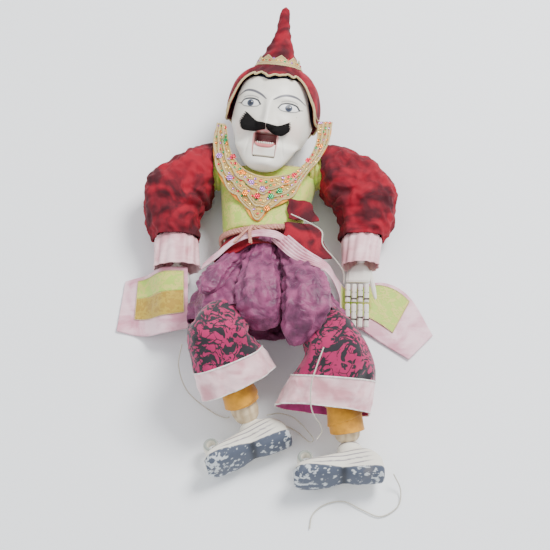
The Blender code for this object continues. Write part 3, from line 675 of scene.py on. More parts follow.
def cheek_covers(a, u):
    return [(0.30 * hump(a, u, (side * 27, 20), 11, 11), (0.80, 0.45, 0.38)) for side in (-1, 1)]


def eye_covers(a, u):
    """Each eye: its white, iris, pupil and glint, then the inked lids."""
    covers = []
    for side, (x, y, tilt) in zip((-1, 1), EYES):
        across = a - x
        height = u - y - tilt * across
        arch = np.sqrt(np.clip(1 - (across / EYE_HALF) ** 2, 0, 1))
        inside = (soft_step(LID_TOP * arch - height, -0.3, 0.3)
                  * soft_step(height + LID_LOW * arch, -0.3, 0.3) * (np.abs(across) < EYE_HALF))
        covers.append((inside, (0.88, 0.87, 0.84)))
        iris = np.hypot(across, height - 0.5)
        covers.append((inside * (1 - soft_step(iris, 3.3, 3.9)), (0.035, 0.045, 0.075)))
        covers.append((inside * (1 - soft_step(iris, 1.5, 1.9)), INK))
        glint = np.hypot(across - 1.4, height - 1.9)
        covers.append((1 - soft_step(glint, 0.4, 0.7), (0.9, 0.9, 0.9)))
        top, low = ([(x + r, y + tilt * r + lid * math.sqrt(max(0, 1 - (r / EYE_HALF) ** 2)))
                     for r in np.linspace(-EYE_HALF, EYE_HALF, 9)] for lid in (LID_TOP, -LID_LOW))
        fold = [(px, py + 2.6) for px, py in top[1:-1]]
        covers.append((stroke(a, u, top, np.linspace(0.75, 0.95, 9)), INK))
        covers.append((0.9 * stroke(a, u, low, [0.45] * 9), INK))
        covers.append((0.8 * stroke(a, u, fold, [0.34] * 7), (0.10, 0.09, 0.10)))
        tip = top[0] if side < 0 else top[-1]
        covers.append((stroke(a, u, [tip, (tip[0] + side * 3.4, tip[1] + 0.8)], [0.55, 0.2]), INK))
    return covers


def brow_covers(a, u):
    left = [(-33.5, 52.0), (-27, 56.8), (-19, 56.6), (-10, 53.0), (-4, 48.6)]
    right = [(3.8, 48.6), (10, 52.6), (18, 54.8), (27, 53.6), (35, 48.6)]
    return [(0.92 * stroke(a, u, brow, widths), (0.05, 0.05, 0.075))
            for brow, widths in ((left, (0.4, 1.1, 1.4, 1.2, 0.6)),
                                 (right, (0.6, 1.2, 1.4, 1.1, 0.4)))]


def mouth_covers(a, u):
    """The lips, the dark inside of the mouth and the nostrils."""
    left, right, low, high = MOUTH
    upper_lip = [(left - 1.2, 12), (-6, high + 1.9), (0, high + 1.3), (6, high + 1.9),
                 (right + 1.2, 12), (right + 1.3, 4), (right + 0.6, low + 2)]
    left_corner = [(left - 1.2, 12), (left - 1.3, 4), (left - 0.6, low + 2)]
    covers = [(stroke(a, u, upper_lip, (0.8, 1.5, 1.2, 1.5, 1.0, 0.9, 0.5)), LIP_RED),
              (stroke(a, u, left_corner, (1.0, 0.9, 0.5)), LIP_RED),
              (mouth_hole(a, u), (0.20, 0.03, 0.035))]
    for side in (-1, 1):
        nostril = stroke(a, u, [(side * 5.6, 19.6), (side * 7.4, 20.0)], (0.8, 0.6))
        covers.append((0.85 * nostril, (0.22, 0.08, 0.07)))
    return covers


def face_paint(a, u, frontal):
    colour = np.ones(a.shape + (3,)) * IVORY
    covers = cheek_covers(a, u) + eye_covers(a, u) + brow_covers(a, u) + mouth_covers(a, u)
    for cover, pigment in covers:
        share = (cover * frontal)[..., None]
        colour = colour * (1 - share) + np.array(pigment) * share
    hairline = soft_step(u - brim_line(a), -3.6, -3.0)[..., None]
    return colour * (1 - hairline) + np.array((0.010, 0.016, 0.045)) * hairline


def build_face():
    heights = np.linspace(SKULL[0][0], SKULL[-1][0], 300)
    turn = np.linspace(-1, 1, 420, endpoint=False)
    angles = math.pi / 2 + math.pi * turn * (0.50 + 0.50 * turn ** 2)
    cx, sx = rounded(angles, HEAD_POWER)
    half, front, back = skull_at(heights)
    a = half[:, None] * cx
    u = heights[:, None] + 0 * a
    f = ((front + back) / 2)[:, None] + ((front - back) / 2)[:, None] * sx
    frontal = soft_step(sx, 0.30, 0.62)[None, :] + 0 * a
    f = f + face_relief(a, u) * frontal
    for side in (-1, 1):
        ear = hump(u, f, (33, 2), 11, 8) * soft_step(side * cx, 0.7, 0.98)[None, :]
        dent = hump(u, f, (33, 3), 5.5, 4.5) * soft_step(side * cx, 0.7, 0.98)[None, :]
        a = a + side * (2.6 * ear - 3.0 * dent)
    head = skin("head_carved", in_head(a, u, f), MAT["face"], ends=True,
                paint=face_paint(a, u, frontal))
    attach(head, "head_body")
    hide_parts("head")


def build_moustache():
    """Two brushes of short hairs that sweep out and up from under the nose."""
    routes = []
    tips = {-1: ((-24.6, 15.2), (-26.4, 23.0), (-21.8, 32.6)),
            1: ((17.4, 12.6), (22.8, 18.2), (21.8, 26.0))}
    for side in (-1, 1):
        ends = spline(tips[side], HAIRS_A_LAYER)
        for hair_number in range(HAIRS):
            share = (hair_number % HAIRS_A_LAYER) / (HAIRS_A_LAYER - 1)
            layer = hair_number // HAIRS_A_LAYER
            wobble = math.sin(12.9 * hair_number + side) + math.sin(5.3 * hair_number)
            start = np.array((side * 0.6, 17.6 + 4.2 * share))
            tip = ends[hair_number % HAIRS_A_LAYER] + wobble * np.array((side * 1.1, 0.5))
            middle = (start + tip) / 2 + np.array((0, -1.6 - 0.8 * share))
            line = spline([start, middle, tip], 10)
            lift = 0.4 + 0.5 * layer + 0.9 * math.sin(math.pi * share)
            front = face_front(line[:, 0], line[:, 1], lift)
            routes.append(in_head(line[:, 0], line[:, 1], np.maximum(front, 44.0 + lift)))
    made = strand("moustache_hair", routes, 0.27, MAT["hair"], resolution=1)
    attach(made, "head_body")
    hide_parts("moustache")


def build_lip():
    jaw = frame["nodes"]["jaw"]
    edge = jaw.modifiers.new("edge", "BEVEL")
    edge.width = 0.8 * MM
    edge.segments = 3
    steps = np.linspace(-1, 1, 40)
    grid = []
    for angle in circle(14):
        bulge = 1.9 * (1 - 0.35 * steps ** 2)
        grid.append(in_head(steps * 9.9, 0.7 + 2.6 * steps ** 4 + bulge * math.sin(angle),
                            45.6 + 0.8 * bulge * math.cos(angle)))
    lip = skin("lower_lip", np.array(grid).transpose(1, 0, 2), MAT["lip"], ends=True)
    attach(lip, "jaw_body")


def build_teeth():
    teeth = bmesh.new()
    for number in range(8):
        across = -7.7 + 2.2 * number
        made = bmesh.ops.create_cube(teeth, size=1.0)["verts"]
        for vertex in made:
            spot = in_head(across + vertex.co.x * 1.9, 3.5 + vertex.co.y * 3.0 * (
                0.93 + 0.07 * math.cos(2 * number)), 43.4 + vertex.co.z * 1.6)
            vertex.co = place(spot)
    bmesh.ops.bevel(teeth, geom=teeth.edges[:], offset=0.45 * MM, segments=2, affect="EDGES")
    row = finished("lower_teeth", teeth, MAT["tooth"])
    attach(row, "jaw_body")


def build_tongue():
    """A tapered tongue with a groove along its top."""
    lengths = np.linspace(25, 41, 30)
    angles = circle(24)
    tongue = np.array([in_head(
        5.8 * math.sqrt(max(0.02, 1 - ((f - 32) / 9.4) ** 2)) * np.cos(angles),
        3.0 + 0.42 * (41 - f) + 1.7 * np.sin(angles) - 0.7 * np.exp(
            -(5.8 * np.cos(angles) / 1.6) ** 2) * (np.sin(angles) > 0), np.full(24, f))
        for f in lengths])
    made = skin("tongue_carved", tongue, MAT["tongue"], ends=True)
    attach(made, "jaw_body")
    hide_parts("tongue")


# The hat --------------------------------------------------------------------------------

def hood_ring(share, angles, grow):
    facing = np.sin(angles)
    cx, sx = rounded(angles, HEAD_POWER)
    wave = (1.2 * np.sin(17 * angles) + 0.6 * np.sin(29 * angles)) * (1 - share)
    front_edge = brim_line(44 * cx)
    brim = np.where(facing > 0, front_edge, 33 - 19 * facing ** 2)
    brim = np.where(facing > 0, np.maximum(brim, 30.5),
                    np.minimum(brim, 30.5 + 40 * np.abs(facing)))
    brim = brim + wave
    height = brim + (81 - brim) * share ** 0.8
    half, front, back = skull_at(height)
    pucker = 0.55 * np.sin(14 * angles + 5 * share) * (0.4 + 0.6 * share)
    return in_head((half + grow + pucker) * cx, height + grow * share ** 2,
                   (front + back) / 2 + ((front - back) / 2 + grow + pucker) * sx)


def hat_radius(height):
    return np.interp(height, (84, 88.4, 92, 100, 109, 120, 132, 146, 151, 153.5),
                     (24, 22.5, 20.5, 17.5, 13.5, 9, 6.6, 5.2, 3.6, 0.8))


def build_hood():
    angles = circle(160)
    hood = np.array([hood_ring(share, angles, 6.0) for share in np.linspace(0, 1, 34)])
    made = skin("hood_velvet", hood, MAT["velvet"], thickness=1.6)
    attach(made, "head_body")
    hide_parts("hat_hood")
    for name, share, radius in (("hood_cord", 0.0, 1.1), ("hood_cord_inner", 0.07, 0.6)):
        rim = strand(name, [hood_ring(share, angles, 6.9)], radius, MAT["cream_braid"], closed=True)
        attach(rim, "head_body")


def build_cone():
    heights = np.linspace(84, 153.5, 110)
    cone = np.zeros((110, 96, 3))
    turn = circle(96)
    for row, height in enumerate(heights):
        fold = (0.9 * math.sin(height * 0.62) * np.sin(turn * 2 + height * 0.11)
                + 0.7 * np.sin(5 * turn + height * 0.17))
        fold = fold * np.interp(height, (88, 104, 150), (0, 1, 0.3))
        radius = hat_radius(height) + fold
        cone[row] = in_head(radius * np.cos(turn), np.full(96, height), radius * np.sin(turn))
    made = skin("cone_velvet", cone, MAT["velvet"], ends=True)
    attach(made, "head_body")
    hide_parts("hat_cone")


def build_hat_band():
    turn = circle(144)
    peak = np.abs(((turn * 9 / (2 * math.pi)) % 1) - 0.5) * 2
    band = np.zeros((8, 144, 3))
    for row in range(8):
        height = 88.2 + (5.0 + 5.2 * peak) * row / 7
        radius = hat_radius(height) + 1.7
        band[row] = in_head(radius * np.cos(turn), height, radius * np.sin(turn))
    made = skin("band_gold", band, MAT["gold_braid"], thickness=0.9)
    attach(made, "head_body")
    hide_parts("hat_band")
    edges = [band[0], band[-1], (band[2] + band[3]) / 2]
    made = strand("band_cords", [edge + (edge - in_head(0.0, 92.0, 0.0)) * 0.02 for edge in edges],
                  0.7, MAT["cream_braid"], closed=True)
    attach(made, "head_body")
    spots = []
    for number in range(36):
        angle = 2 * math.pi * number / 36
        height = 92.2 + (2.6 if number % 4 == 2 else 0)
        radius = hat_radius(height) + 2.5
        out = math.cos(angle) * HEAD_ACROSS + math.sin(angle) * HEAD_FRONT
        spots.append((in_head(0.0, height, 0.0) + out * radius, out, 1.2))
    sequins("band_sequins", spots, "head_body")


def sequins(name, spots, body, only=None):
    """Small cupped discs, each with its own colour, at (place, outward, radius)."""
    work = bmesh.new()
    for number, (spot, outward, radius) in enumerate(spots):
        kind = number % len(SEQUINS) if only is None else only
        outward = unit(outward)
        across = unit(np.cross(outward, X if abs(outward[0]) < 0.8 else Y))
        up = np.cross(outward, across)
        centre = work.verts.new(place(spot + outward * 0.15))
        loops = []
        for size, lift in ((0.55, 0.05), (1.0, 0.5), (1.0, -0.1)):
            loops.append([work.verts.new(place(
                spot + (across * math.cos(t) + up * math.sin(t)) * radius * size + outward * lift))
                for t in circle(10)])
        for k in range(10):
            n = (k + 1) % 10
            faces = [work.faces.new((centre, loops[0][k], loops[0][n]))]
            for low, high in zip(loops, loops[1:]):
                faces.append(work.faces.new((low[k], high[k], high[n], low[n])))
            for face in faces:
                face.material_index = kind
        work.faces.new(list(reversed(loops[2]))).material_index = kind
    made = finished(name, work, *SEQUINS)
    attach(made, body)


# The trunk ------------------------------------------------------------------------------

BIB_OUTER = ((-60, 164), (-64, 143), (-61, 112), (-48, 84), (-33, 67), (-19, 47), (-4, 62),
             (18, 76), (30, 99), (45, 120), (56, 143), (60, 166))
BIB_INNER = ((-50, 160), (-47, 138), (-42, 122), (-32, 109), (-21, 102), (-9, 99), (3, 100),
             (14, 102), (25, 109), (35, 122), (42, 140), (44, 162))
# X, Y and which colour of sequin.
BIB_ROSETTES = ((-4, 76, 2), (5, 82, 2), (-13, 84, 0), (-24, 92, 0), (-18, 76, 1), (12, 92, 3),
                (20, 100, 1), (-34, 104, 3), (-43, 122, 1), (34, 118, 1), (46, 136, 3),
                (-52, 142, 2), (-8, 62, 3), (-57, 124, 0), (-46, 98, 0), (-30, 80, 3))
# Bands round the trunk: Y, middle X, middle Z, half X and half Z.
VEST = ((45, -13, 31.4, 37, 26), (50, -13, 31.4, 39, 27.8), (75, -11, 30.4, 43, 28),
        (100, -8, 28.6, 48, 26.6), (113, -8, 26.5, 49.5, 24.5), (120, -8, 25, 48, 22.5))
WAIST_CLOTH = ((44, -13, 33, 30, 20), (20, -12, 34, 43, 29), (0, -14, 36, 56, 35),
               (-30, -11, 45, 74, 44), (-52, -6, 50, 80, 49))
# Bunched folds of the waist cloth: the line down each, its half widths and half depths.
LOBES = (
    (((-8, 36, 60), (-14, 6, 66), (-16, -26, 82), (-16, -54, 86), (-14, -76, 76)),
     (7, 14, 20, 21, 16), (5, 10, 14, 14, 11)),
    (((5, 34, 60), (20, 6, 64), (30, -24, 82), (30, -58, 90), (19, -92, 74)),
     (6, 15, 21, 22, 15), (5, 10, 14, 14, 11)),
    (((-20, 34, 58), (-40, 12, 58), (-58, -14, 70), (-66, -40, 82)),
     (6, 11, 14, 12), (4, 8, 10, 9)),
)
PEPLUM = ((46, -13, 33, 34, 24), (36, -13, 33, 38, 27.5), (26, -13, 34, 44, 31),
          (16, -12.5, 35.4, 49.5, 34.6))


def bib_drape(points, lift):
    x, y = points[..., 0], points[..., 1]
    z = 61.6 - 0.0011 * (x + 8) ** 2 + 0.5 * np.sin(x * 0.23) * np.sin(y * 0.19) + lift
    return np.stack([x, y, z], axis=-1)


def bib_line(share, count, scallops=0.0, phase=0.0):
    """A line across the bib, from its neck edge at 0 to its outer edge at 1."""
    inner, outer = spline(BIB_INNER, count), spline(BIB_OUTER, count)
    along = np.linspace(0, 1, count)
    reach = share + scallops * (np.abs(np.sin(math.pi * (11 * along + phase))) - 0.6)
    return inner + (outer - inner) * reach[:, None]


def build_bib():
    count = 220
    tiers = ((0.50, 1.00, 0.0, "bib_edge", 0.030), (0.46, 0.93, 0.6, "bib", 0.085),
             (0.24, 0.70, 1.5, "bib", 0.060), (0.00, 0.40, 2.4, "bib", 0.060))
    beads = []
    for tier, (start, end, lift, material, scallops) in enumerate(tiers):
        first = bib_line(start, count)
        last = bib_line(end - 0.035, count, scallops, 0.5 * tier)
        flat, steps = between(first, last, 16)
        made = skin(f"bib_tier_{tier}", bib_drape(flat, lift - 0.35 * steps[..., 0]),
                    MAT[material], wrap=False, thickness=0.7)
        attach(made, "torso")
        if tier == 0:
            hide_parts("collar")
            continue
        for row, (share, radius, kind) in enumerate(((1.0, 0.9, "cream_braid"),
                                                     (0.86, 0.7, "gold_braid"),
                                                     (0.58, 0.5, "gold_braid"),
                                                     (0.10, 0.6, "cream_braid"))):
            line = bib_drape(first * (1 - share) + last * share, lift + 0.45)
            route = line + Z * 0.25 * np.sin(np.arange(count) * 1.7)[:, None]
            made = strand(f"bib_braid_{tier}_{row}", [route], radius, MAT[kind])
            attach(made, "torso")
        curl = bib_drape(first * 0.28 + last * 0.72, lift + 0.5)
        spin = np.linspace(0, 2 * math.pi * 34, count)
        curl = curl + np.stack([1.7 * np.cos(spin), 1.7 * np.sin(spin), 0 * spin], axis=-1)
        made = strand(f"bib_scroll_{tier}", [curl], 0.32, MAT["gold_braid"])
        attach(made, "torso")
        for share, step, size in ((0.72, 6, 1.15), (0.34, 9, 1.5)):
            line = bib_drape(first * (1 - share) + last * share, lift + 0.75)
            beads += [(spot, Z, size) for spot in line[3::step]]
    sequins("bib_sequins", beads, "torso")
    for number, (x, y, kind) in enumerate(BIB_ROSETTES):
        spots = []
        for petal in range(7):
            turn = 2 * math.pi * petal / 6
            reach = 2.1 if petal < 6 else 0.0
            spot = np.array((x + reach * math.cos(turn), y + reach * math.sin(turn)))
            spots.append((bib_drape(spot, 3.3 if petal < 6 else 3.8), Z, 1.2))
        sequins(f"bib_rosette_{number}", spots, "torso", kind)


def build_vest():
    def creases(share, angles):
        return (0.5 * np.sin(11 * angles + 4 * share) * share
                + 0.5 * np.sin(5 * angles - 7 * share) - 0.3)

    grid = girdle_grid(VEST, 70, 200, creases, 3.0)
    made = skin("vest_brocade", grid, MAT["brocade"], MAT["bib_edge"], thickness=1.4)
    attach(made, "torso")
    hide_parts("vest")
    for side in SIDES:
        out = -1 if side == "right" else 1
        turn = circle(90)
        hole = np.zeros((16, 90, 3))
        for row in range(16):
            radius = 20.5 + 1.0 * math.sin(row * 0.9) + 0.7 * np.sin(9 * turn + row * 0.3)
            hole[row, :, 0] = -8 + out * (44 + row * 0.75)
            hole[row, :, 1] = 121 + 0.8 * radius * np.cos(turn)
            hole[row, :, 2] = 30 + radius * np.sin(turn)
        ruffle = skin(f"armhole_{side}", hole, MAT["brocade"], thickness=1.0)
        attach(ruffle, "torso")


def build_peplum():
    def flare(share, angles):
        return (1.3 * np.sin(7 * angles + 2) + 0.8 * np.sin(12 * angles)) * share ** 1.3 - 0.4

    grid = girdle_grid(PEPLUM, 50, 220, flare)
    angles = circle(220)
    reach = np.linspace(0, 1, 50)[:, None] ** 2
    grid[..., 1] -= reach * (3.5 * np.sin(3 * angles + 0.6) + 2.0 * np.sin(7 * angles))[None]
    grid[..., 2] = np.maximum(grid[..., 2], FOLD_FLOOR)
    made = skin("peplum_velvet", grid, MAT["velvet"], thickness=1.3)
    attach(made, "pelvis")
    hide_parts("peplum")


def build_waist_cloth():
    def lobes(share, angles):
        top = np.sin(angles) > 0
        deep = 1.5 + 4.0 * share
        return (-deep * np.abs(np.cos(2.5 * (angles - 0.35))) ** 6 * top - 6 * share * top
                + 1.2 * np.sin(9 * angles + 5 * share) * share - 1.5 * share)

    grid = girdle_grid(WAIST_CLOTH, 110, 300, lobes)
    angles = circle(300)
    reach = np.linspace(0, 1, 110)[:, None] ** 2
    grid[..., 1] += reach * (5 * np.abs(np.cos(2.5 * (angles - 0.35))) - 3.5)[None]
    grid = crumple(grid, 13.0, 3.0, 3.7)
    made = skin("waist_taffeta", grid, MAT["taffeta"], thickness=1.0)
    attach(made, "pelvis")
    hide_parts("waist_cloth")


def build_lobes():
    for number, (line, wide, deep) in enumerate(LOBES):
        bag = spline([(*point, w, d) for point, w, d in zip(line, wide, deep)], 90)
        turn = circle(110)
        grid = np.zeros((90, 110, 3))
        for row, (x, y, z, half, thick) in enumerate(bag):
            share = row / 89
            close = math.sqrt(max(0.0, 1 - max(0.0, (share - 0.82) / 0.18) ** 2)) + 0.02
            pleat = 1 + 0.10 * np.sin(9 * turn + 2 * number + 3 * share) * (1 - 0.6 * share)
            grid[row, :, 0] = x + half * close * pleat * np.cos(turn)
            grid[row, :, 1] = y
            grid[row, :, 2] = z + thick * close * pleat * np.sin(turn)
        lobe = skin(f"waist_lobe_{number}", crumple(grid, 12.0, 2.6, 8.1 + number), MAT["taffeta"],
                    ends=True)
        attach(lobe, "pelvis")


def build_belt():
    """Three twisted strands round the waist, the skirt's velvet flaps and two loose ends."""
    routes = []
    spin = circle(300)
    cx, sx = rounded(spin, 2.6)
    for strand_number in range(3):
        twist = 26 * spin + 2 * math.pi * strand_number / 3
        routes.append(np.stack([
            -13 + (41.6 + 1.2 * np.cos(twist)) * cx,
            41 + 1.9 * np.sin(twist) + 4.2 * cx * (sx > 0) * sx,
            33 + (31.0 + 1.2 * np.cos(twist)) * sx], axis=-1))
    for row in routes:
        row[:, 2] = np.maximum(row[:, 2], 2.6)
    made = strand("belt_braid", routes, 1.45, MAT["belt"], closed=True)
    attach(made, "pelvis")
    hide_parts("belt")
    build_flap("flap_upper", "torso", (13, 44), (51, 74), 60.4, 0.02, 0.008)
    build_flap("flap_lower", "pelvis", (9, 56), (6, 47), 63.0, 0.20, 0.007)
    tail = []
    for number, end in enumerate(((-40, 17, 79), (-24, 14, 85))):
        line = spline([(-22, 42, 66.5), (-29 + 4 * number, 31, 77), end], 50)
        twist = np.linspace(0, 16 * math.pi, 50)
        for phase in (0, math.pi):
            tail.append(line + np.stack([1.0 * np.cos(twist + phase), 0 * twist,
                                         1.0 * np.sin(twist + phase)], axis=-1))
    made = strand("belt_ends", tail, 1.0, MAT["belt"])
    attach(made, "pelvis")


def build_flap(name, body, across, along, height, rise, fall):
    """A loose piece of the velvet skirt with an uneven edge."""
    count = 60
    s, t = np.meshgrid(np.linspace(0, 1, count), np.linspace(0, 1, count))
    x = across[0] + (across[1] - across[0]) * (s * (0.72 + 0.28 * t) + 0.03 * np.sin(9 * t))
    y = along[1] - (along[1] - along[0]) * t * (0.86 + 0.14 * np.sin(2.6 * s + 0.4))
    z = height + rise * (along[1] - y) - fall * (x - across[0]) ** 2
    z = z + 0.9 * np.sin(11 * s + 3 * t) + 0.7 * np.sin(7 * t + 5 * s)
    made = skin(name, np.stack([x, y, z], axis=-1), MAT["velvet"], wrap=False, thickness=1.1)
    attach(made, body)


TAILS = {
    "right": (((-88, 11, 34), (-112, 12, 33), (-132, 12, 12), (-153, 10, 3)),
              ((-86, -44, 30), (-112, -50, 24), (-134, -48, 4), (-160, -44, 2.6))),
    "left": (((14, 28, 72), (30, 10, 78), (51, -2, 72), (62, -2, 36), (75, 0, 8), (110, 8, 4),
              (137, -8, 3), (159, -50, 3)),
             ((-4, 24, 72), (18, 0, 78), (48, -14, 80), (63, -22, 44), (68, -34, 8),
              (90, -46, 4), (110, -60, 3), (134, -76, 3))),
}
TAIL_ROWS, TAIL_COLUMNS = 46, 150
PATCH_ROW = 14


def build_hem():
    """The pink hem of the skirt, folded over in front from the right tail up to the belt."""
    upper = spline(((-72, 10, 44), (-58, 18, 55), (-40, 28, 67), (-20, 33, 74), (0, 31, 76),
                    (13, 27, 68)), 90)
    lower = spline(((-74, 2, 48), (-58, 9, 59), (-40, 19, 72), (-20, 24, 79), (-2, 22, 80),
                    (9, 20, 71)), 90)
    grid, share = between(upper, lower, 14)
    grid[..., 2] += 0.8 * np.sin(6 * math.pi * share[..., 0] + np.linspace(0, 9, 90)[None])
    made = skin("skirt_hem", grid, MAT["satin"], wrap=False, thickness=0.8)
    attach(made, "pelvis")


def build_tails():
    """Each tail: a pink satin sheet, with a lime panel sewn on inside its border."""
    for side in SIDES:
        upper, lower = (spline(edge, TAIL_COLUMNS) for edge in TAILS[side])
        if side == "right":
            lower = lower - Y * np.linspace(9, 1, TAIL_COLUMNS)[:, None]
        grid, share = between(upper, lower, TAIL_ROWS)
        along = np.linspace(0, 1, TAIL_COLUMNS)[None]
        gather = np.exp(-(along / 0.30) ** 2) if side == "left" else 0.25 + 0 * along
        grid[..., 2] += (gather * 1.1 * np.sin(2 * math.pi * 5 * share[..., 0] + 4 * along)
                         + 0.35 * np.sin(17 * along + 3 * share[..., 0]))
        grid[..., 2] = np.maximum(grid[..., 2], 1.0) - 0.3
        made = skin(f"tail_satin_{side}", grid, MAT["satin"], wrap=False, thickness=0.9)
        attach(made, "pelvis")
        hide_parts(f"skirt_tail_{side}")
        first, last = (74, 130) if side == "left" else (8, 118)
        panel = grid[3:34, first:last] + Z * 1.1
        cloths = [("panel", panel, "brocade")]
        if side == "right":  # sewn from two cloths, ochre below the lime
            cloths = [("panel", panel[:PATCH_ROW + 1], "brocade"),
                      ("patch", panel[PATCH_ROW:], "ochre_patch")]
        for kind, rows, cloth in cloths:
            inset = skin(f"tail_{kind}_{side}", rows, MAT[cloth], wrap=False, thickness=0.5)
            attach(inset, "pelvis")
        border = np.vstack([panel[0], panel[:, -1], panel[-1][::-1], panel[:, 0][::-1]])
        seam = strand(f"tail_seam_{side}", [border + Z * 0.3], 0.45, MAT["cream_braid"],
                      closed=True)
        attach(seam, "pelvis")


# The arms -------------------------------------------------------------------------------

SLEEVE_TOP = {
    "right": (((-64, 126, 31), (-1, 0, 0), 25, 24), ((-80, 115, 32), (-0.9, -0.45, 0), 30, 28)),
    "left": (((47.5, 126, 31), (1, 0, 0), 25, 24), ((66, 115, 32), (0.9, -0.45, 0), 30, 28)),
}
SLEEVE_END = {
    "right": (((-104, 66, 31), (0, -1, -0.05), 27, 25), ((-101, 45, 29), (0, -1, -0.05), 24, 20)),
    "left": (((94, 66, 31), (0, -1, -0.05), 28, 25), ((88, 45, 29), (0, -1, -0.05), 23, 20)),
}
CUFF = {
    "right": (((-101, 47, 29.5), (0, -1, -0.05), 18.6, 15.2),
              ((-100.3, 41, 28.6), (0, -1, -0.05), 21.6, 17.6),
              ((-99.5, 28, 27.5), (0, -1, -0.05), 22.5, 17.5),
              ((-99, 14, 26), (0, -1, -0.05), 23.4, 17)),
    "left": (((88.5, 47, 29.5), (0, -1, -0.05), 17.2, 15.2),
             ((88, 41, 29), (0, -1, -0.05), 19.8, 17.4),
             ((87, 28, 28.5), (0, -1, -0.05), 19.0, 17),
             ((86, 15, 28), (0, -1, -0.05), 18.6, 16)),
}


def mitre(first, second):
    middle = unit(unit(first) + unit(second))
    return middle, 1 / middle.dot(unit(first))


def build_sleeves():
    for side in SIDES:
        reach, lower = ELBOW[side] - SHOULDER[side], WRIST[side] - ELBOW[side]
        fold, stretch = mitre(reach, lower)
        sections = [*SLEEVE_TOP[side], (ELBOW[side], fold, 29 * stretch, 30), *SLEEVE_END[side]]

        def folds(share, angles, seed=1.3 if side == "right" else 2.9):
            inner = np.exp(-((share - 0.52) / 0.20) ** 2)
            return (1.5 * np.sin(26 * share + 1.6 * np.sin(angles + seed)) * inner
                    + 0.9 * np.sin(3 * angles + 9 * share + seed)
                    + 0.6 * np.sin(7 * angles - 5 * share) - 1.0)

        grid = crumple(tube_grid(sections, 130, 190, folds), 13.0, 3.0, 1.0 + len(side))
        made = skin(f"sleeve_velvet_{side}", grid, MAT["velvet"], thickness=1.4)
        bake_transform(made)
        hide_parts(f"sleeve_upper_{side}", f"sleeve_lower_{side}")

        def gathers(share, angles):
            return 0.7 * np.sin(13 * angles + 3 * share) + 0.4 * np.sin(5 * angles) - 0.4

        cuff = tube_grid(CUFF[side], 40, 130, gathers)
        made = skin(f"cuff_satin_{side}", cuff, MAT["cuff"], thickness=0.9)
        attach(made, f"fore_{side}")
        for row, radius in ((-1, 0.6), (6, 0.45)):
            rim = strand(f"cuff_hem_{side}_{row % 40}", [along_rim(cuff, row, 0.4)], radius,
                         MAT["cuff"], closed=True)
            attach(rim, f"fore_{side}")


# The legs -------------------------------------------------------------------------------

TROUSER_TOP = ((16, 15, 15), (48, 19, 18), (70, 24, 21))
TROUSER_END = {
    "right": (((-50, -92, 67), (0.30, -0.80, -0.5), 33, 28),
              ((-42, -105, 57), (0.36, -0.78, -0.5), 37, 29),
              ((-35, -118, 46), (0.40, -0.75, -0.5), 38, 28)),
    "left": (((60, -103, 52), (0.0, -0.95, -0.3), 36, 31),
             ((53, -122, 42), (-0.1, -0.95, -0.3), 42, 31),
             ((46, -141, 34), (-0.1, -0.97, -0.2), 46, 30)),
}
STOCKING_END = {"right": 74.0, "left": 85.0}


def build_trousers():
    rows, cuff_row = 130, 98
    for side in SIDES:
        reach, drop = KNEE[side] - HIP[side], ANKLE[side] - KNEE[side]
        fold, stretch = mitre(reach, drop)
        sections = [(HIP[side] + unit(reach) * away, reach, wide, high)
                    for away, wide, high in TROUSER_TOP]
        sections += [(KNEE[side], fold, 30, 24 * min(stretch, 1.15)), *TROUSER_END[side]]

        def folds(share, angles, seed=0.4 if side == "right" else 1.9):
            inner = np.exp(-((share - 0.5) / 0.2) ** 2)
            return (1.0 * np.sin(4 * angles + 7 * share + seed)
                    + 0.9 * np.sin(20 * share + 2 * np.sin(angles)) * inner
                    + 0.9 * np.sin(9 * angles + seed) * share ** 2 - 0.9)

        grid = crumple(tube_grid(sections, rows, 190, folds), 17.0, 1.5, 5.0 + len(side))
        pieces = (
            skin(f"trouser_print_{side}", grid[:cuff_row + 1], MAT["print"], MAT["lining"],
                 thickness=1.3),
            skin(f"trouser_cuff_{side}", grid[cuff_row:], MAT["cuff"], MAT["lining"],
                 thickness=1.5),
            rings(f"trouser_piping_{side}", [along_rim(grid, cuff_row, 0.9),
                                             along_rim(grid, -1, 0.2)], 0.8, MAT["piping"]))
        for made, slot in zip(pieces, ("print", "satin", "satin")):
            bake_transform(made)
        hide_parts(f"trouser_upper_{side}", f"trouser_lower_{side}")


def build_stockings():
    """A strip of felt wound up the shin, each turn lapping the one below."""
    for side in SIDES:
        along = unit(ANKLE[side] - KNEE[side])
        across = unit(np.cross(along, Z))
        up = np.cross(across, along)
        angles = circle(120)
        rows = np.linspace(20, STOCKING_END[side], 120)
        grid = np.zeros((120, 120, 3))
        for row, away in enumerate(rows):
            turn = ((away - 20) / 19.0 + angles / (2 * math.pi)) % 1
            radius = 16.1 + 1.5 * turn ** 3 + 0.3 * np.sin(4 * angles + away * 0.2)
            grid[row] = (KNEE[side] + along * away + np.outer(radius * np.cos(angles), across)
                         + np.outer(radius * np.sin(angles), up))
        made = skin(f"stocking_wrap_{side}", grid, MAT["stocking"], thickness=1.0)
        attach(made, f"shank_{side}")
        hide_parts(f"stocking_{side}")


# The shoes ------------------------------------------------------------------------------

TOE = {"right": (-0.928, -0.371, 0.0), "left": (-0.999, -0.05, 0.0)}
SOLE_LIFT = math.radians(17)
ANKLE_TO_SOLE = {"right": 36.0, "left": 40.0}
SHOE = ((-31, 8, 12, 3), (-28, 13, 22, 0.5), (-18, 15, 31, 0), (-4, 15, 33, 0), (8, 15, 29, 3),
        (22, 18, 24, 0.5), (38, 19, 20, 0), (50, 16, 17, 0), (56, 9, 12, 2))
CREAM, SLATE, STRIPE = ((0.76, 0.72, 0.62), (0.075, 0.09, 0.13), (0.24, 0.21, 0.24))


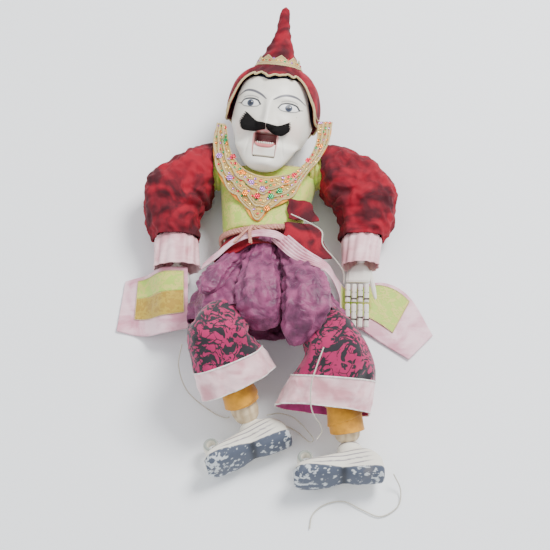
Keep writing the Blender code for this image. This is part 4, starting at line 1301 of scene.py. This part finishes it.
def shoe_frame(side):
    """Which way a shoe's toe, side and top face, and the middle of its sole."""
    toe = unit(TOE[side])
    level = np.cross(toe, Z)
    level *= 1 if level[1] > 0 else -1
    up = unit(level * math.cos(SOLE_LIFT) - Z * math.sin(SOLE_LIFT))
    return toe, np.cross(toe, up), up, ANKLE[side] - up * ANKLE_TO_SOLE[side]


def build_shoe(side):
    toe, across, up, sole = shoe_frame(side)
    table = spline(SHOE, 150)
    angles = circle(260)
    cx, sx = rounded(angles, 3.0)
    grid = np.zeros((150, 260, 3))
    paint = np.zeros((150, 260, 3))
    for row, (ahead, half, top, low) in enumerate(table):
        height = (low + top) / 2 + (top - low) / 2 * sx
        seam = 7.5 + 2.5 * soft_step(ahead, 20, 50)
        welt = 0.9 * np.exp(-((height - seam + 1.5) / 1.3) ** 2)
        gouge = 0.5 * np.sin(ahead * 0.9 + 3 * np.sin(height * 0.25)) * (height < seam)
        grid[row] = (sole + toe * ahead + np.outer(height, up)
                     + np.outer((half + welt + 0.4 * gouge - 0.4) * cx, across))
        colour = np.ones((260, 3)) * CREAM
        lines = np.abs(((height - seam) / 5.2 + 0.03 * ahead) % 1 - 0.5)
        stripe = (1 - soft_step(lines, 0.08, 0.17)) * soft_step(height, seam + 2, seam + 3)
        stripe *= soft_step(ahead, -24, -10) * (1 - soft_step(ahead, 46, 52))
        colour = colour * (1 - stripe[:, None]) + np.array(STRIPE) * stripe[:, None]
        under = (1 - soft_step(height, seam - 0.6, seam + 0.2))[:, None]
        worn = np.array([noise.noise(Vector(spot) * 0.22) + 0.5 * noise.noise(
            Vector(spot) * 0.6) for spot in grid[row]])
        scuff = soft_step(worn + 0.010 * np.abs(ahead - 8), 0.46, 0.62)
        dark = np.array(SLATE) + scuff[:, None] * np.array((0.50, 0.52, 0.50))
        # Painted shade: the slate sole is darkened in the hollow of its arch, where it lifts off
        # between heel and ball.
        arch_shade = np.exp(-((ahead - 8) / 4.0) ** 2) * (height < seam)
        dark = dark * (1 - 0.7 * arch_shade[:, None])
        paint[row] = colour * (1 - under) + dark * under
    made = skin(f"shoe_carved_{side}", grid, MAT["shoe"], ends=True, paint=paint)
    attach(made, f"foot_{side}")
    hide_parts(f"shoe_{side}")


def build_toe_scroll(side):
    toe, across, up, sole = shoe_frame(side)
    centre = sole + toe * 42 + up * 28
    curl = np.zeros((70, 24, 3))
    tint = np.ones((70, 24, 3)) * CREAM
    rim = circle(24)
    for row, share in enumerate(np.linspace(0, 1, 70)):
        angle = math.radians(-80 + 380 * share)
        out = toe * math.cos(angle) + up * math.sin(angle)
        middle = centre + out * (8.4 - 6.0 * share)
        size = 4.6 - 2.8 * share
        curl[row] = (middle + np.outer(size * 1.7 * np.cos(rim), across)
                     + np.outer(size * 0.62 * np.sin(rim), out))
        edge = soft_step(np.abs(np.cos(rim)), 0.62, 0.9)[:, None]
        tint[row] = tint[row] * (1 - 0.75 * edge) + np.array((0.16, 0.21, 0.19)) * 0.75 * edge
    made = skin(f"toe_scroll_{side}", curl, MAT["shoe"], ends=True, paint=tint)
    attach(made, f"foot_{side}")


def build_ankle_dome(side):
    toe, across, up, sole = shoe_frame(side)
    heights = np.linspace(24, ANKLE_TO_SOLE[side] + 3.5, 30)
    collar = np.zeros((30, 60, 3))
    rim = circle(60)
    for row, height in enumerate(heights):
        share = row / 29
        radius = 13.5 * math.sqrt(max(0.05, 1 - 0.62 * share ** 2)) + 0.5 * math.sin(12 * share)
        collar[row] = (sole + up * height + np.outer(radius * np.cos(rim), toe)
                       + np.outer(radius * 0.92 * np.sin(rim), across))
    tint = np.ones((30, 60, 3)) * CREAM
    tint[20:23] = STRIPE
    made = skin(f"ankle_dome_{side}", collar, MAT["shoe"], ends=True, paint=tint)
    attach(made, f"foot_{side}")


# CAD nodes that stay --------------------------------------------------------------------

def keep_carved_nodes():
    looks = {"jaw": "jaw", "neck_post": "hand"}
    for name, node in frame["nodes"].items():
        if name.startswith(("palm", "finger")):
            kind = "hand"
            edge = node.modifiers.new("edge", "BEVEL")
            edge.width = 1.1 * MM
            edge.segments = 3
            edge.limit_method = "ANGLE"
        else:
            kind = looks.get(name, "wood")
        for slot in node.material_slots:
            slot.material = MAT[kind]


def build_finger_joints():
    """Dark gaps across the fingers, and a carved groove part of the way along each piece."""
    groove = old_paint("joint_gap", (0.07, 0.055, 0.045), (0.03, 0.02, 0.02),
                       (0.16, 0.12, 0.09), 0.8)
    for number in range(1, 5):
        root = joint_at(f"finger_{number}_root_left")
        tip = joint_at(f"finger_{number}_tip_left")
        along = unit(tip - root)
        across = unit(JOINTS[f"finger_{number}_root_left"]["axis"])
        up = np.cross(across, along)
        for part, start, marks in (("root", root, (5.0, 11.5)), ("tip", tip, (5.0, 12.5))):
            node = frame["nodes"][f"finger_{number}_{part}_left"]
            spots = np.array([vertex.co for vertex in node.data.vertices]) / MM - SHIFT - start
            low = [float((spots @ axis).min()) for axis in (across, up)]
            high = [float((spots @ axis).max()) for axis in (across, up)]
            mesh = bmesh.new()
            for mark in marks:
                for vertex in bmesh.ops.create_cube(mesh, size=1.0)["verts"]:
                    x = (low[0] + high[0]) / 2 + vertex.co.x * (high[0] - low[0] + 0.1)
                    z = (low[1] + high[1]) / 2 + vertex.co.y * (high[1] - low[1] + 0.2)
                    vertex.co = place(start + across * x + up * z
                                      + along * (mark + 1.9 * (number % 2) + vertex.co.z * 0.7))
            bmesh.ops.bevel(mesh, geom=mesh.edges[:], offset=0.7 * MM, segments=2, affect="EDGES",
                            clamp_overlap=True)
            made = finished(f"finger_gap_{number}_{part}", mesh, groove)
            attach(made, f"finger_{number}_{part}")


build_stage()
build_strings()
keep_carved_nodes()
build_face()
build_moustache()
build_lip()
build_teeth()
build_tongue()
build_hood()
build_cone()
build_hat_band()
build_bib()
build_vest()
build_peplum()
build_waist_cloth()
build_lobes()
build_belt()
build_hem()
build_tails()
build_sleeves()
build_trousers()
build_stockings()
for each in SIDES:
    build_shoe(each)
    build_toe_scroll(each)
    build_ankle_dome(each)
build_finger_joints()
